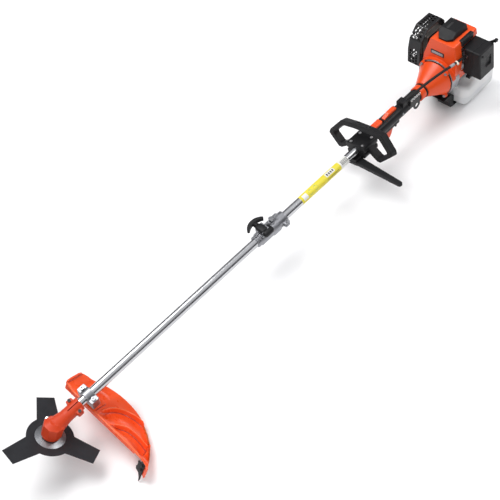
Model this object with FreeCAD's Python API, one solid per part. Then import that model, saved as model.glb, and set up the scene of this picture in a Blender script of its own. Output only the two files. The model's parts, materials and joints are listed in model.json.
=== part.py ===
import FreeCAD, Part
import math
import os

# Split-shaft petrol brush cutter, millimetres.
# Working frame: +X along the shaft towards the blade, +Y to the operator's left, +Z up.
# While building, x = 0 is where the pinion axis meets the output axis in the gear head.
# On export everything moves so that the origin is the centre of the harness eye.

V = FreeCAD.Vector
CENTRE = V(0, 0, 0)
X = V(1, 0, 0)
Y = V(0, 1, 0)
Z = V(0, 0, 1)

# ---- driving dimensions -------------------------------------------------------------------
TUBE_R = 13.0               # 26 mm aluminium shaft tube
TUBE_WALL = 1.5
FIT = 0.05                  # radial running clearance
HEAD_ANGLE = 62.0           # between the shaft and the output axis
HEAD_ROLL = -10.0           # the attachment as it is clamped, turned about the shaft
HANDLE_ROLL = 9.0           # the loop handle as it is clamped
HANDLE_LEAN = -17.0         # the loop leans back towards the operator

BLADE_R = 127.5
BLADE_HUB_R = 60.0          # round hub between the three arms
BLADE_T = 1.6
BLADE_DROP = 33.0           # output axis, gear apex to the blade's middle plane
BLADE_PHASE = -125.3
TIP_HALF_ANGLE = 10.4
ROOT_HALF_ANGLE = 29.0      # where an arm's straight side meets the hub
ARBOR_R = 12.7              # 25.4 mm blade bore
GLIDE_R = 39.0

PINION_TEETH = 14
GEAR_TEETH = 19
CONE_DISTANCE = 18.0
FACE_WIDTH = 6.0

GEAR_CLAMP_X = -72.0        # the two screws that clamp the casing's sleeve on the tube
GEAR_CLAMP_Y = 20.0
GEAR_CLAMP_TOP = 11.0
GREASE_X = -5.0
GREASE_Z = 4.0

LOWER_TUBE_FRONT = -42.0
LOWER_TUBE_REAR = -806.0
GUARD_X = -116.0
GUARD_PLANE = 15.0          # guard plate above the gear apex, along the output axis
GUARD_R = 212.0
GUARD_CENTRE_Y = 45.0
GUARD_T = 4.0
GUARD_FRONT = -108.0        # straight front edge, behind the output axis
GUARD_FRONT_RIGHT = -82.0
GUARD_FRONT_Y = 206.0       # where the front edge ends on the left
GUARD_END_DROP = 42.0       # the end wall that carries the line cutter
GUARD_LEFT_SPAN = 62.0      # degrees of arc on each side of straight back
GUARD_RIGHT_SPAN = 38.0
GUARD_BRACKET_LOW = -24.0
BRACKET_LUG_TOP = 11.0
BRACKET_BOLT_Y = 21.0
LOBE_PROFILE = [(0.0, 0.0), (0.05, 14.0), (0.2, 21.0), (0.78, 23.0), (0.94, 15.0), (1.0, 0.0)]
RIDGE_HALF = 2.5
RIDGE_RISE = 3.0
GUARD_RIDGES = [(V(-128, 38, 0), V(-178, 66, 0), V(-194, 132, 0)),
                (V(-121, 86, 0), V(-148, 118, 0), V(-153, 196, 0))]

COUPLER_FRONT = -745.0
COUPLER_REAR = -850.0
COUPLER_R = 20.0
KNOB_X = -766.0
EAR_Z = 25.0
PIN_X = -802.0
CLAMP_BOLT_X = -838.0       # rear clamp on the upper tube
CLAMP_BOLT_Y = 23.6
CLAMP_EAR = 8.0

UPPER_TUBE_FRONT = -812.0
UPPER_TUBE_REAR = -1505.0
HANDLE_X = -1200.0
HANDLE_SCREWS = [(x, y) for x in (-21.0, 21.0) for y in (-22.0, 22.0)]
HANDLE_SCREW_TOP = 17.0
BARRIER_END = 162.0
GRIP_FRONT = -1238.0
GRIP_REAR = -1402.0
GRIP_R = 19.5
TRIGGER_X = -1290.0         # hinge pins of the trigger and of its lockout
TRIGGER_Z = -19.0
LOCKOUT_X = -1303.0
LOCKOUT_Z = 21.5
EYE = V(-1442.0, 17.0, -14.0)
EYE_R = 8.0

CLUTCH_FRONT = -1463.0
CLUTCH_MOUTH = -1558.0
CASE_FRONT = -1560.0
CASE_REAR = -1668.0
CYL_X = -1633.0
PORT_Z = 68.0               # inlet on the left of the cylinder, exhaust on the right
BORE_R = 22.0
CRANK_THROW = 16.0
TANK_TOP = -44.0
STAND_Z = -126.0
CABLE_R = 4.2
CABLE_ROUTE = [V(-1390.0, 3.0, 24.0), V(-1452.0, 19.0, 44.5), V(-1513.0, 43.0, 69.0),
               V(-1566.0, 66.0, 86.5), V(-1614.3, 68.0, 81.0)]
COVER_FRONT = -1583.0
COVER_REAR = -1667.0
COVER_RIGHT = -33.0
COVER_LEFT = 35.0
COVER_LOW = 132.3
COVER_TOP = 151.0
AIR_X0 = -1612.0
AIR_X1 = -1687.0
AIR_LOW = 14.0
AIR_HIGH = 108.0
AIR_SPLIT = 92.0            # plane between the air filter's case and its cover
STARTER_FRONT = -1690.0
STARTER_REAR = -1738.0
ROPE_X = -1722.0
ROPE_Y = -4.0
CAP_X = -1650.0
CAP_Z = -72.0


# ---- shape helpers ------------------------------------------------------------------------
def cyl(radius, start, direction, length):
    return Part.makeCylinder(radius, length, start, direction)


def xcyl(radius, x0, x1, y=0.0, z=0.0):
    return Part.makeCylinder(radius, x0 - x1, V(x1, y, z), X)


def xcone(r0, x0, r1, x1):
    return Part.makeCone(r1, r0, x0 - x1, V(x1, 0, 0), X)


def box(x0, x1, y0, y1, z0, z1):
    return Part.makeBox(abs(x1 - x0), abs(y1 - y0), abs(z1 - z0), V(min(x0, x1), min(y0, y1), min(z0, z1)))


def prism(points, sweep):
    wire = Part.makePolygon(list(points) + [points[0]])
    return Part.Face(wire).extrude(sweep)


def fuse(first, *others):
    return first.multiFuse(list(others)).removeSplitter() if others else first


def rounded(shape, radius, direction=None):
    """Round the straight edges that run along direction, or every edge."""
    edges = []
    for edge in shape.Edges:
        if len(edge.Vertexes) == 2 and direction is not None:
            run = edge.Vertexes[1].Point - edge.Vertexes[0].Point
            if run.cross(direction).Length > 1e-6 * run.Length:
                continue
        edges.append(edge)
    return shape.makeFillet(radius, edges)


def hexagon_bar(across, start, direction, length):
    bar = prism([V(across / math.sqrt(3) * math.cos(math.radians(60 * k)),
                   across / math.sqrt(3) * math.sin(math.radians(60 * k)), 0) for k in range(6)],
                V(0, 0, length))
    bar.Placement = FreeCAD.Placement(start, FreeCAD.Rotation(Z, direction))
    return bar


def cap_screw(head, direction, length, shank_r=2.5, head_r=4.5, head_h=4.5):
    """Socket head screw: the head's underside sits at head, the shank runs along direction."""
    back = direction * -1.0
    screw = cyl(shank_r, head, direction, length).fuse(cyl(head_r, head, back, head_h))
    socket = hexagon_bar(shank_r * 1.6, head + back * head_h, direction, head_h * 0.55)
    return screw.cut(socket)


def head_frame(shape):
    """From the blade's own frame (Z along the output axis, away from the blade) to the shaft."""
    copy = shape.copy()
    copy.rotate(CENTRE, Y, -(90.0 - HEAD_ANGLE))
    return copy


def tube_along(points, radius):
    """A round tube along straight runs joined by tangent arcs."""
    edges = []
    here = points[0]
    for before, corner, after in zip(points, points[1:], points[2:]):
        a = (before - corner).normalize()
        b = (after - corner).normalize()
        turn = math.pi - a.getAngle(b)
        cut_back = 0.45 * min((before - corner).Length, (after - corner).Length)
        arc_r = cut_back / math.tan(turn / 2)
        start = corner + a * cut_back
        end = corner + b * cut_back
        middle = (a + b).normalize()
        apex = corner + middle * (arc_r / math.cos(turn / 2) - arc_r)
        edges.append(Part.makeLine(here, start))
        edges.append(Part.Arc(start, apex, end).toShape())
        print("cable arc radius %.0f" % arc_r)
        here = end
    edges.append(Part.makeLine(here, points[-1]))
    path = Part.Wire(edges)
    circle = Part.Wire(Part.makeCircle(radius, points[0], points[1] - points[0]))
    pipe = path.makePipeShell([circle], True, False)
    print("cable volume ratio %.4f" % (pipe.Volume / (math.pi * radius ** 2 * path.Length)))
    return pipe


def export(name, shape, rolled=0.0):
    """Write one sub-part; rolled turns it about the shaft first."""
    copy = shape.copy()
    copy.rotate(CENTRE, X, rolled)
    copy.translate(EYE * -1.0)
    if not copy.isValid():
        print("NOT VALID", name)
    print("%-22s %2d solids %9.1f mm3" % (name, len(copy.Solids), copy.Volume))
    copy.exportStep("parts/%s.step" % name)


# ---- bevel gears --------------------------------------------------------------------------
def pitch_angles():
    between = math.radians(180.0 - HEAD_ANGLE)
    ratio = GEAR_TEETH / PINION_TEETH
    pinion = math.atan2(math.sin(between), ratio + math.cos(between))
    return pinion, between - pinion


def bevel_teeth(pitch, teeth, phase):
    """Cone blank and straight teeth about +Z with the apex at the origin, opening upwards."""
    module = 2 * CONE_DISTANCE * math.sin(pitch) / teeth
    root = pitch - 1.0 * module / CONE_DISTANCE
    tip = pitch + 0.52 * module / CONE_DISTANCE
    outer = CONE_DISTANCE
    inner = CONE_DISTANCE - FACE_WIDTH
    solids = []
    for k in range(teeth):
        middle = phase + 2 * math.pi * k / teeth
        corners = []
        for radius in (outer, inner):
            for lean, share in ((root, 0.24), (tip, 0.09)):
                for side in (-1, 1):
                    a = middle + side * share * 2 * math.pi / teeth
                    corners.append(V(radius * math.sin(lean) * math.cos(a),
                                     radius * math.sin(lean) * math.sin(a),
                                     radius * math.cos(lean)))
        o = corners
        quads = [(0, 1, 3, 2), (4, 5, 7, 6), (0, 1, 5, 4), (2, 3, 7, 6), (0, 2, 6, 4), (1, 3, 7, 5)]
        faces = [Part.Face(Part.makePolygon([o[i] for i in q] + [o[q[0]]])) for q in quads]
        solids.append(Part.makeSolid(Part.makeShell(faces)))
    # the blank overlaps the tooth roots a little
    deep = root + 0.05 * module / CONE_DISTANCE
    blank = Part.makeCone(inner * math.sin(deep), outer * math.sin(deep),
                          (outer - inner) * math.cos(deep), V(0, 0, inner * math.cos(deep)), Z)
    return blank, solids


def pinion_shaft():
    pitch = pitch_angles()[0]
    # the opposed gear has a tooth centred on the mesh line, so the pinion has a gap there
    blank, teeth = bevel_teeth(pitch, PINION_TEETH, math.pi + math.pi / PINION_TEETH)
    gear = fuse(blank, *teeth)
    gear.Placement = FreeCAD.Placement(CENTRE, FreeCAD.Rotation(V(0, 0, 1), V(-1, 0, 0)))
    back = -CONE_DISTANCE * math.cos(pitch) + 0.2
    shaft = xcyl(6.0, back, -62.0)
    collar = xcyl(8.0, back, -22.0)
    socket = xcyl(4.0, -48.0, -62.0)
    return fuse(gear, shaft, collar).cut(socket)


def driven_gear():
    pitch = pitch_angles()[1]
    # local frame of the blade: Z points away from the blade, so the gear's cone opens along -Z
    blank, teeth = bevel_teeth(pitch, GEAR_TEETH, 0.0)
    back = CONE_DISTANCE * math.cos(pitch) - 0.6
    hub = cyl(13.0, V(0, 0, back), Z, 10.6 - back)
    gear = fuse(blank, hub, *teeth)
    gear = gear.cut(cyl(6.0, V(0, 0, -5), Z, 30))
    gear.rotate(CENTRE, Y, 180)
    return head_frame(gear)


# ---- cutter -------------------------------------------------------------------------------
def polar(radius, degrees, z=0.0):
    return V(radius * math.cos(math.radians(degrees)), radius * math.sin(math.radians(degrees)), z)


def cutting_blade():
    z = -BLADE_DROP - BLADE_T / 2
    edges = []
    for k in range(3):
        middle = BLADE_PHASE + 120 * k
        corners = [polar(BLADE_HUB_R, middle - ROOT_HALF_ANGLE, z), polar(BLADE_R, middle - TIP_HALF_ANGLE, z),
                   polar(BLADE_R, middle + TIP_HALF_ANGLE, z), polar(BLADE_HUB_R, middle + ROOT_HALF_ANGLE, z)]
        for here, there in zip(corners, corners[1:]):
            edges.append(Part.makeLine(here, there))
        next_arm = polar(BLADE_HUB_R, middle + 120 - ROOT_HALF_ANGLE, z)
        edges.append(Part.Arc(corners[-1], polar(BLADE_HUB_R, middle + 60, z), next_arm).toShape())
    plate = Part.Face(Part.Wire(edges)).extrude(V(0, 0, BLADE_T))
    return head_frame(plate.cut(cyl(ARBOR_R + FIT, V(0, 0, z - 5), Z, 12)))


def upper_flange():
    top = -24.4
    seat = -BLADE_DROP + BLADE_T / 2
    body = cyl(15.0, V(0, 0, seat), Z, top - seat)
    skirt = Part.makeCone(GLIDE_R, 20.0, 4.6, V(0, 0, seat + 0.4), Z)
    spigot = cyl(ARBOR_R, V(0, 0, seat - BLADE_T), Z, BLADE_T)
    hollow = Part.makeCone(GLIDE_R - 3.0, 17.0, 3.0, V(0, 0, seat + 0.4), Z).cut(cyl(18.0, V(0, 0, seat), Z, 9))
    shape = fuse(body, skirt, spigot).cut(hollow).cut(cyl(6.0, V(0, 0, -60), Z, 60))
    return head_frame(shape)


def lower_flange():
    top = -BLADE_DROP - BLADE_T / 2
    plate = Part.makeCone(20.0, 27.0, 4.0, V(0, 0, top - 4.0), Z)
    return head_frame(plate.cut(cyl(6.0, V(0, 0, -60), Z, 60)))


def blade_nut():
    top = -BLADE_DROP - BLADE_T / 2 - 4.0
    washer = cyl(14.0, V(0, 0, top - 2.0), Z, 2.0)
    nut = hexagon_bar(19.0, V(0, 0, top - 11.0), Z, 9.0)
    return head_frame(fuse(washer, nut).cut(cyl(5.0, V(0, 0, top - 30), Z, 40)))


def output_shaft():
    end = -BLADE_DROP - BLADE_T / 2 - 4.0
    shank = cyl(6.0, V(0, 0, end), Z, -2.5 - end)
    thread = cyl(5.0, V(0, 0, end - 13.0), Z, 13.0)
    return head_frame(fuse(shank, thread))


# ---- gear head ----------------------------------------------------------------------------
def gear_head_casing():
    sleeve = xcyl(18.0, -30.0, -88.0)
    lobes = [rounded(box(GEAR_CLAMP_X + 9, GEAR_CLAMP_X - 9, 10.0 * s, 25.0 * s, -6.0, GEAR_CLAMP_TOP), 4.0, Z)
             for s in (-1, 1)]
    neck = xcone(24.0, -8.0, 18.0, -40.0)
    chamber = prism([polar(27.0, 22.5 + 45 * k, -18.0) for k in range(8)], V(0, 0, 33.0))
    roof = Part.makeCone(24.0, 13.0, 8.0, V(0, 0, 15.0), Z)
    skirt = Part.makeCone(25.0, 23.5, 8.0, V(0, 0, -23.5), Z)
    head = fuse(chamber, roof, skirt)
    casing = fuse(sleeve, neck, head_frame(head), *lobes)
    casing = casing.cut(xcyl(TUBE_R + 0.02, -39.9, -95.0))
    casing = casing.cut(xcyl(11.0, -24.0, -39.95))
    casing = casing.cut(xcyl(14.3, -1.0, -24.05))
    gear_room = cyl(19.3, V(0, 0, -11.0), Z, 19.0)
    seat = cyl(16.0, V(0, 0, -30.0), Z, 19.05)
    casing = casing.cut(head_frame(gear_room)).cut(head_frame(seat))
    slit = box(-50.0, -90.0, -1.2, 1.2, 10.0, 30.0)
    casing = casing.cut(slit).cut(cyl(5.0, V(GREASE_X, -40.0, GREASE_Z), Y, 24.0))
    for side in (-1, 1):
        casing = casing.cut(cyl(2.6, V(GEAR_CLAMP_X, GEAR_CLAMP_Y * side, -10.0), Z, 40.0))
    return casing


def gear_head_bearings():
    pinion_ring = xcyl(10.98, -24.5, -38.0).cut(xcyl(6.0 + FIT, -20.0, -60.0))
    output_ring = cyl(15.98, V(0, 0, -22.5), Z, 11.3).cut(cyl(6.0 + FIT, V(0, 0, -50), Z, 80))
    return Part.makeCompound([pinion_ring, head_frame(output_ring)])


def clamp_screws():
    screws = []
    for side in (-1, 1):
        head = V(GEAR_CLAMP_X, GEAR_CLAMP_Y * side, GEAR_CLAMP_TOP)
        screws.append(cap_screw(head, V(0, 0, -1), 12.0, 2.5, 4.2, 4.0))
    return Part.makeCompound(screws)


def grease_plug():
    plug = cyl(4.97, V(GREASE_X, -26.0, GREASE_Z), Y, 9.0)
    head = hexagon_bar(10.0, V(GREASE_X, -30.0, GREASE_Z), Y, 5.0)
    return fuse(plug, head)


def lower_tube():
    tube = xcyl(TUBE_R, LOWER_TUBE_FRONT, LOWER_TUBE_REAR).cut(
        xcyl(TUBE_R - TUBE_WALL, LOWER_TUBE_FRONT + 1, LOWER_TUBE_REAR - 1))
    # the locating slot is open at the tube's end, so that the attachment slides out past the pin
    slot = box(PIN_X + 5.5, LOWER_TUBE_REAR - 5, -5.5, 5.5, 5.0, 20.0)
    slot.rotate(CENTRE, X, -HEAD_ROLL)
    return tube.cut(slot)


def lower_drive_shaft():
    return xcyl(4.0, -48.0, -838.0)


# ---- guard --------------------------------------------------------------------------------
def guard_left_end(z):
    return V(0, GUARD_CENTRE_Y, z) + polar(GUARD_R, 180 - GUARD_LEFT_SPAN)


def guard_right_end(z):
    return V(0, GUARD_CENTRE_Y, z) + polar(GUARD_R, 180 + GUARD_RIGHT_SPAN)


def guard_plate():
    """Plan of the guard in the blade's frame: a straight front edge and an arc behind."""
    z = GUARD_PLANE - GUARD_T
    right_end = guard_right_end(z)
    back = V(0, GUARD_CENTRE_Y, z) + polar(GUARD_R, 180)
    left_end = guard_left_end(z)
    front_right = V(GUARD_FRONT, GUARD_FRONT_RIGHT, z)
    front_left = V(GUARD_FRONT, GUARD_FRONT_Y, z)
    wire = Part.Wire([Part.makeLine(front_left, front_right), Part.makeLine(front_right, right_end),
                      Part.Arc(right_end, back, left_end).toShape(), Part.makeLine(left_end, front_left)])
    return Part.Face(wire).extrude(V(0, 0, GUARD_T))


def ridge(start, middle, end):
    """A raised band on the guard plate along the arc through three points."""
    low = V(0, 0, GUARD_PLANE - 1.0)
    arc = Part.Arc(start, middle, end).toShape().Curve
    centre = arc.Center + low
    band = cyl(arc.Radius + RIDGE_HALF, centre, Z, 8.0).cut(cyl(arc.Radius - RIDGE_HALF, centre, Z, 8.0))
    fan = [centre] + [centre + (point - arc.Center) * 1.6 for point in (start, middle, end)]
    return band.common(prism(fan, V(0, 0, 8.0)))


def guard_shell():
    top = GUARD_PLANE
    plate = guard_plate()
    centre = V(0, GUARD_CENTRE_Y, 0)
    ring = cyl(GUARD_R, centre + V(0, 0, top - 58.0), Z, 58.0).cut(
        cyl(GUARD_R - GUARD_T, centre + V(0, 0, top - 60.0), Z, 64.0))
    floor = top - 70.0
    edge = [centre + polar(330.0, angle, floor) for angle in (202, 168, 140, 180 - GUARD_LEFT_SPAN)]
    span = prism([centre + V(0, 0, floor)] + edge, V(0, 0, 90.0))
    # the skirt is shallow on the operator's right and deep on the left, where the cutter is
    slope = prism([V(-400, -200, -120), V(-400, -200, top - 16.0), V(-400, 60.0, top - 26.0),
                   V(-400, 290.0, top - 52.0), V(-400, 290.0, -120)], V(420, 0, 0))
    skirt = ring.common(span).cut(slope)
    lip = box(GUARD_FRONT, GUARD_FRONT - 4.0, -80.0, GUARD_FRONT_Y - 1.0, top - 12.0, top)
    # the right end curls up in a low lobe
    near = V(GUARD_FRONT, GUARD_FRONT_RIGHT, top - 1.0)
    run = guard_right_end(top - 1.0) - near
    lobe = prism([near + run * share + Z * rise for share, rise in LOBE_PROFILE],
                 Z.cross(run).normalize() * -GUARD_T)
    plan = guard_plate()
    plan.translate(V(0, 0, RIDGE_RISE))
    ribs = [ridge(*points).common(plan) for points in GUARD_RIDGES]
    pad = prism([V(-150, -26, top - 1), V(-112, -26, top - 1), V(-112, 26, top - 1), V(-150, 26, top - 1)],
                V(0, 0, 7.0))
    corner = V(GUARD_FRONT, GUARD_FRONT_Y, top)
    wall_run = guard_left_end(top) - corner
    wall_drop = V(0, 0, -GUARD_END_DROP)
    wall = prism([corner, corner + wall_run, corner + wall_run + wall_drop, corner + wall_drop],
                 wall_run.cross(Z).normalize() * -GUARD_T)
    shell = fuse(plate, skirt, lip, pad, lobe, wall, *ribs)
    # the left end is one flat face, where the line cutter is screwed on
    high = V(GUARD_FRONT, GUARD_FRONT_Y, 60.0)
    along = guard_left_end(60.0) - high
    side = along.cross(Z).normalize() * 60.0
    beyond = prism([high - along, high + along * 2.0, high + along * 2.0 + side, high - along + side],
                   V(0, 0, -160.0))
    shell = shell.cut(beyond)
    shell = head_frame(shell)
    clear = xcyl(TUBE_R + 2.0, 0.0, -300.0)
    bracket = box(GUARD_X - 22, GUARD_X + 22, -29.0, 29.0, GUARD_BRACKET_LOW, 60.0)
    return shell.cut(clear).cut(bracket)


def guard_bracket():
    """Two cast halves round the tube, with a square lug and a bolt on each side."""
    halves = []
    for side, low, high in ((-1, GUARD_BRACKET_LOW, -0.4), (1, 0.4, 19.0)):
        block = rounded(box(GUARD_X - 12, GUARD_X + 12, -29.0, 29.0, low, high), 3.0, Z)
        if side > 0:
            block = block.common(fuse(xcyl(19.0, GUARD_X + 12, GUARD_X - 12),
                                      box(GUARD_X - 12, GUARD_X + 12, -31, 31, -1, BRACKET_LUG_TOP)))
        block = block.cut(xcyl(TUBE_R, GUARD_X + 40, GUARD_X - 40))
        for y in (-BRACKET_BOLT_Y, BRACKET_BOLT_Y):
            block = block.cut(cyl(3.2, V(GUARD_X, y, -60.0), Z, 120.0))
        halves.append(block)
    return Part.makeCompound(halves)


def guard_bracket_bolts():
    bolts = []
    for y in (-BRACKET_BOLT_Y, BRACKET_BOLT_Y):
        bolts.append(cap_screw(V(GUARD_X, y, BRACKET_LUG_TOP), V(0, 0, -1), 34.0, 3.0, 5.5, 5.0))
    return Part.makeCompound(bolts)


def line_cutter():
    """Thread-cutting knife on the guard's deep left end, with its two screw heads."""
    low = guard_left_end(GUARD_PLANE)
    high = V(GUARD_FRONT, GUARD_FRONT_Y, GUARD_PLANE)
    along = (low - high).normalize()
    outward = along.cross(Z)
    outline = [(2.0, -6.0), (18.0, -6.0), (18.0, -46.0), (19.0, -58.0), (16.0, -68.0), (12.0, -54.0),
               (5.0, -46.0), (-8.0, -46.0), (-11.0, -38.0), (-8.0, -34.0), (-8.0, -24.0), (-11.0, -20.0),
               (-8.0, -14.0), (2.0, -14.0)]
    plate = prism([high + along * run + Z * drop for run, drop in outline], outward * 3.0)
    heads = [cyl(4.5, high + along * 10.0 + Z * drop + outward * 2.5, outward, 3.5) for drop in (-14.0, -30.0)]
    return head_frame(fuse(plate, *heads))


# ---- coupler ------------------------------------------------------------------------------
def coupler_housing():
    barrel = xcyl(COUPLER_R, COUPLER_FRONT, COUPLER_REAR)
    nose = xcyl(17.5, COUPLER_FRONT + 12.0, COUPLER_FRONT)
    waist = xcyl(COUPLER_R + 2.5, -792.0, -818.0)
    top_ears = rounded(box(KNOB_X + 14, KNOB_X - 14, -15.0, 15.0, 8.0, 35.0), 5.0, Y)
    ear = box(CLAMP_BOLT_X + 9, CLAMP_BOLT_X - 9, 8.0, 28.5, -CLAMP_EAR, CLAMP_EAR)
    ear = rounded(ear, 3.0, Z)
    pin_boss = cyl(9.0, V(PIN_X, 0, 10.0), Z, 17.0)
    body = fuse(barrel, nose, waist, top_ears, pin_boss, ear)
    body = body.cut(xcyl(TUBE_R + FIT, COUPLER_FRONT + 20, UPPER_TUBE_FRONT + 3.0))
    body = body.cut(xcyl(TUBE_R, UPPER_TUBE_FRONT, COUPLER_REAR - 5))
    body = body.cut(xcyl(10.5, UPPER_TUBE_FRONT + 4.0, UPPER_TUBE_FRONT - 1.0))
    body = body.cut(box(COUPLER_FRONT + 20, -786.0, -1.2, 1.2, 5.0, 50.0))
    body = body.cut(box(-820.0, COUPLER_REAR - 5, 0.0, 50.0, -1.2, 1.2))
    body = body.cut(cyl(3.1, V(KNOB_X, -30.0, EAR_Z), Y, 60.0))
    body = body.cut(cyl(4.0 + FIT, V(PIN_X, 0, 5.0), Z, 40.0))
    body = body.cut(cyl(2.6, V(CLAMP_BOLT_X, CLAMP_BOLT_Y, -20.0), Z, 40.0))
    return body


def coupler_knob():
    stem = cyl(3.0, V(KNOB_X, 18.0, EAR_Z), V(0, -1, 0), 50.0)
    hub = Part.makeCone(9.0, 7.0, 13.0, V(KNOB_X, -17.5, EAR_Z), V(0, -1, 0))
    low = EAR_Z - 6.0
    outer = [V(KNOB_X - 33, -27, low), V(KNOB_X, -44, low), V(KNOB_X + 33, -27, low)]
    inner = [V(KNOB_X + 28, -22, low), V(KNOB_X, -32, low), V(KNOB_X - 28, -22, low)]
    outline = Part.Wire([Part.Arc(*outer).toShape(), Part.makeLine(outer[-1], inner[0]),
                         Part.Arc(*inner).toShape(), Part.makeLine(inner[-1], outer[0])])
    wing = rounded(Part.Face(outline).extrude(V(0, 0, 12.0)), 2.0, Z)
    return fuse(stem, hub, wing)


def locating_pin():
    pin = cyl(4.0, V(PIN_X, 0, TUBE_R - 2.6), Z, 23.0)
    head = cyl(7.5, V(PIN_X, 0, 33.0), Z, 6.0)
    tab = rounded(box(PIN_X - 24, PIN_X, -5.0, 5.0, 34.0, 37.0), 4.0, Z)
    collar = cyl(4.0, V(PIN_X, 0, 30.0), Z, 4.0)
    return fuse(pin, head, tab, collar)


def coupler_bolt():
    return cap_screw(V(CLAMP_BOLT_X, CLAMP_BOLT_Y, CLAMP_EAR), V(0, 0, -1), 18.0, 2.5, 4.2, 4.0)


def upper_tube():
    return xcyl(TUBE_R, UPPER_TUBE_FRONT, UPPER_TUBE_REAR).cut(
        xcyl(TUBE_R - TUBE_WALL, UPPER_TUBE_FRONT + 1, UPPER_TUBE_REAR - 1))


def upper_drive_shaft():
    rod = xcyl(4.0, -834.0, -1530.0)
    socket = xcyl(8.0, -814.0, -856.0)
    return fuse(rod, socket).cut(xcyl(4.0 + FIT, -800.0, -842.0))


# ---- handle and grip ----------------------------------------------------------------------
def loop_points(inset):
    """Half of the loop's outline, operator's left side, in the loop's own plane (y, z)."""
    side = [(30.0, 63.0), (76.0, 59.5), (116.0, 18.0), (120.0, 6.0), (80.0, -27.0), (68.0, -27.0),
            (36.0, -9.0)]
    inner = [(24.0, 49.0), (68.0, 45.5), (101.0, 13.0), (101.0, 8.0), (75.0, -12.0), (70.0, -12.0),
             (36.0, 8.0)]
    half = inner if inset else side
    return half + [(-y, z) for y, z in reversed(half)]


def loop_handle():
    wide = 13.0
    rings = []
    for inset in (False, True):
        points = [V(-wide, y, z) for y, z in loop_points(inset)]
        solid = prism(points, V(2 * wide, 0, 0))
        rings.append(rounded(solid, 5.0, X))
    band = rings[0].cut(rings[1])
    band.rotate(CENTRE, Y, HANDLE_LEAN)
    band.translate(V(HANDLE_X, 0, 0))
    cap = box(HANDLE_X - 30, HANDLE_X + 30, -36.0, 36.0, 0.3, 22.0)
    cap = rounded(cap, 8.0, X)
    cap = fuse(cap, band.common(box(-2000, 0, -200, 200, -200, 200)))
    cap = cap.cut(xcyl(TUBE_R, HANDLE_X + 80, HANDLE_X - 80))
    below = box(HANDLE_X - 31, HANDLE_X + 31, -36.5, 36.5, -60.0, 0.3)
    cap = cap.cut(below)
    for x, y in HANDLE_SCREWS:
        cap = cap.cut(cyl(2.6, V(HANDLE_X + x, y, -60.0), Z, 120.0))
        cap = cap.cut(cyl(5.0, V(HANDLE_X + x, y, HANDLE_SCREW_TOP), Z, 20.0))
    return cap


def handle_clamp():
    block = rounded(box(HANDLE_X - 30, HANDLE_X + 30, -34.0, 34.0, -20.0, -0.3), 8.0, X)
    foot = box(HANDLE_X + 8, HANDLE_X + 54, -14.0, 18.0, -22.0, -13.4)
    block = fuse(block, foot)
    block = block.cut(xcyl(TUBE_R, HANDLE_X + 80, HANDLE_X - 80))
    for x, y in HANDLE_SCREWS:
        block = block.cut(cyl(2.6, V(HANDLE_X + x, y, -60.0), Z, 120.0))
    return block


def handle_screws():
    screws = [cap_screw(V(HANDLE_X + x, y, HANDLE_SCREW_TOP), V(0, 0, -1), 36.0) for x, y in HANDLE_SCREWS]
    return Part.makeCompound(screws)


def barrier_bar():
    """Flat bar that keeps the operator's legs away, below the tube and out to the left."""
    x0 = HANDLE_X + 40
    root = rounded(box(x0 - 15, x0 + 15, -16.0, 22.0, -34.0, -22.2), 4.0, Z)
    side_a = [V(x0 - 14, 12, -33.0), V(x0 + 14, 12, -33.0), V(x0 + 14, 12, -22.4), V(x0 - 14, 12, -22.4)]
    side_b = [V(x0 - 8, BARRIER_END, -56.0), V(x0 + 8, BARRIER_END, -56.0),
              V(x0 + 8, BARRIER_END, -46.5), V(x0 - 8, BARRIER_END, -46.5)]
    wires = [Part.makePolygon(side + [side[0]]) for side in (side_a, side_b)]
    arm = Part.makeLoft(wires, True, True)
    tip = cyl(8.0, V(x0, BARRIER_END, -56.0), Z, 9.5)
    bar = fuse(root, arm, tip)
    for y in (-8.0, 10.0):
        bar = bar.cut(cyl(2.6, V(x0, y, -60.0), Z, 60.0))
    return bar


def grip_body():
    sleeve = xcyl(GRIP_R, GRIP_FRONT, GRIP_REAR)
    rail = rounded(box(-1241.0, -1362.0, -13.0, 13.0, 0.0, 27.0), 4.0, X)
    boss = rounded(box(-1379.0, -1401.5, -13.0, 13.0, 0.0, 34.0), 4.0, X)
    belly = rounded(box(-1276.0, -1364.0, -12.0, 12.0, -31.0, 0.0), 4.0, X)
    hook = prism([V(-1351, -4, -29), V(-1362, -4, -29), V(-1362, -4, -44), V(-1358, -4, -50),
                  V(-1354, -4, -46)], V(0, 8, 0))
    lug = box(-1390.0, -1402.0, -6.0, 6.0, -25.0, -10.0)
    body = fuse(sleeve, rail, boss, belly, hook, lug)
    body = body.cut(xcyl(TUBE_R, GRIP_FRONT + 5, GRIP_REAR - 5))
    body = body.cut(box(-1282.0, -1347.0, -6.8, 6.8, -32.0, -14.0))
    body = body.cut(box(-1245.0, -1293.0, -9.3, 9.3, 18.5, 40.0))
    body = body.cut(box(-1297.0, -1357.0, -6.5, 6.5, 16.0, 40.0))
    body = body.cut(cyl(3.0, V(TRIGGER_X, -40.0, TRIGGER_Z), Y, 80.0))
    body = body.cut(cyl(2.0, V(LOCKOUT_X, -40.0, LOCKOUT_Z), Y, 80.0))
    gland = cyl(CABLE_R + 0.3, CABLE_ROUTE[0], CABLE_ROUTE[1] - CABLE_ROUTE[0], 40.0)
    return body.cut(gland)


def grip_half(side):
    if side > 0:
        return grip_body().common(box(-1500, -1200, 0.05, 60.0, -80.0, 80.0))
    return grip_body().common(box(-1500, -1200, -60.0, -0.05, -80.0, 80.0))


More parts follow.
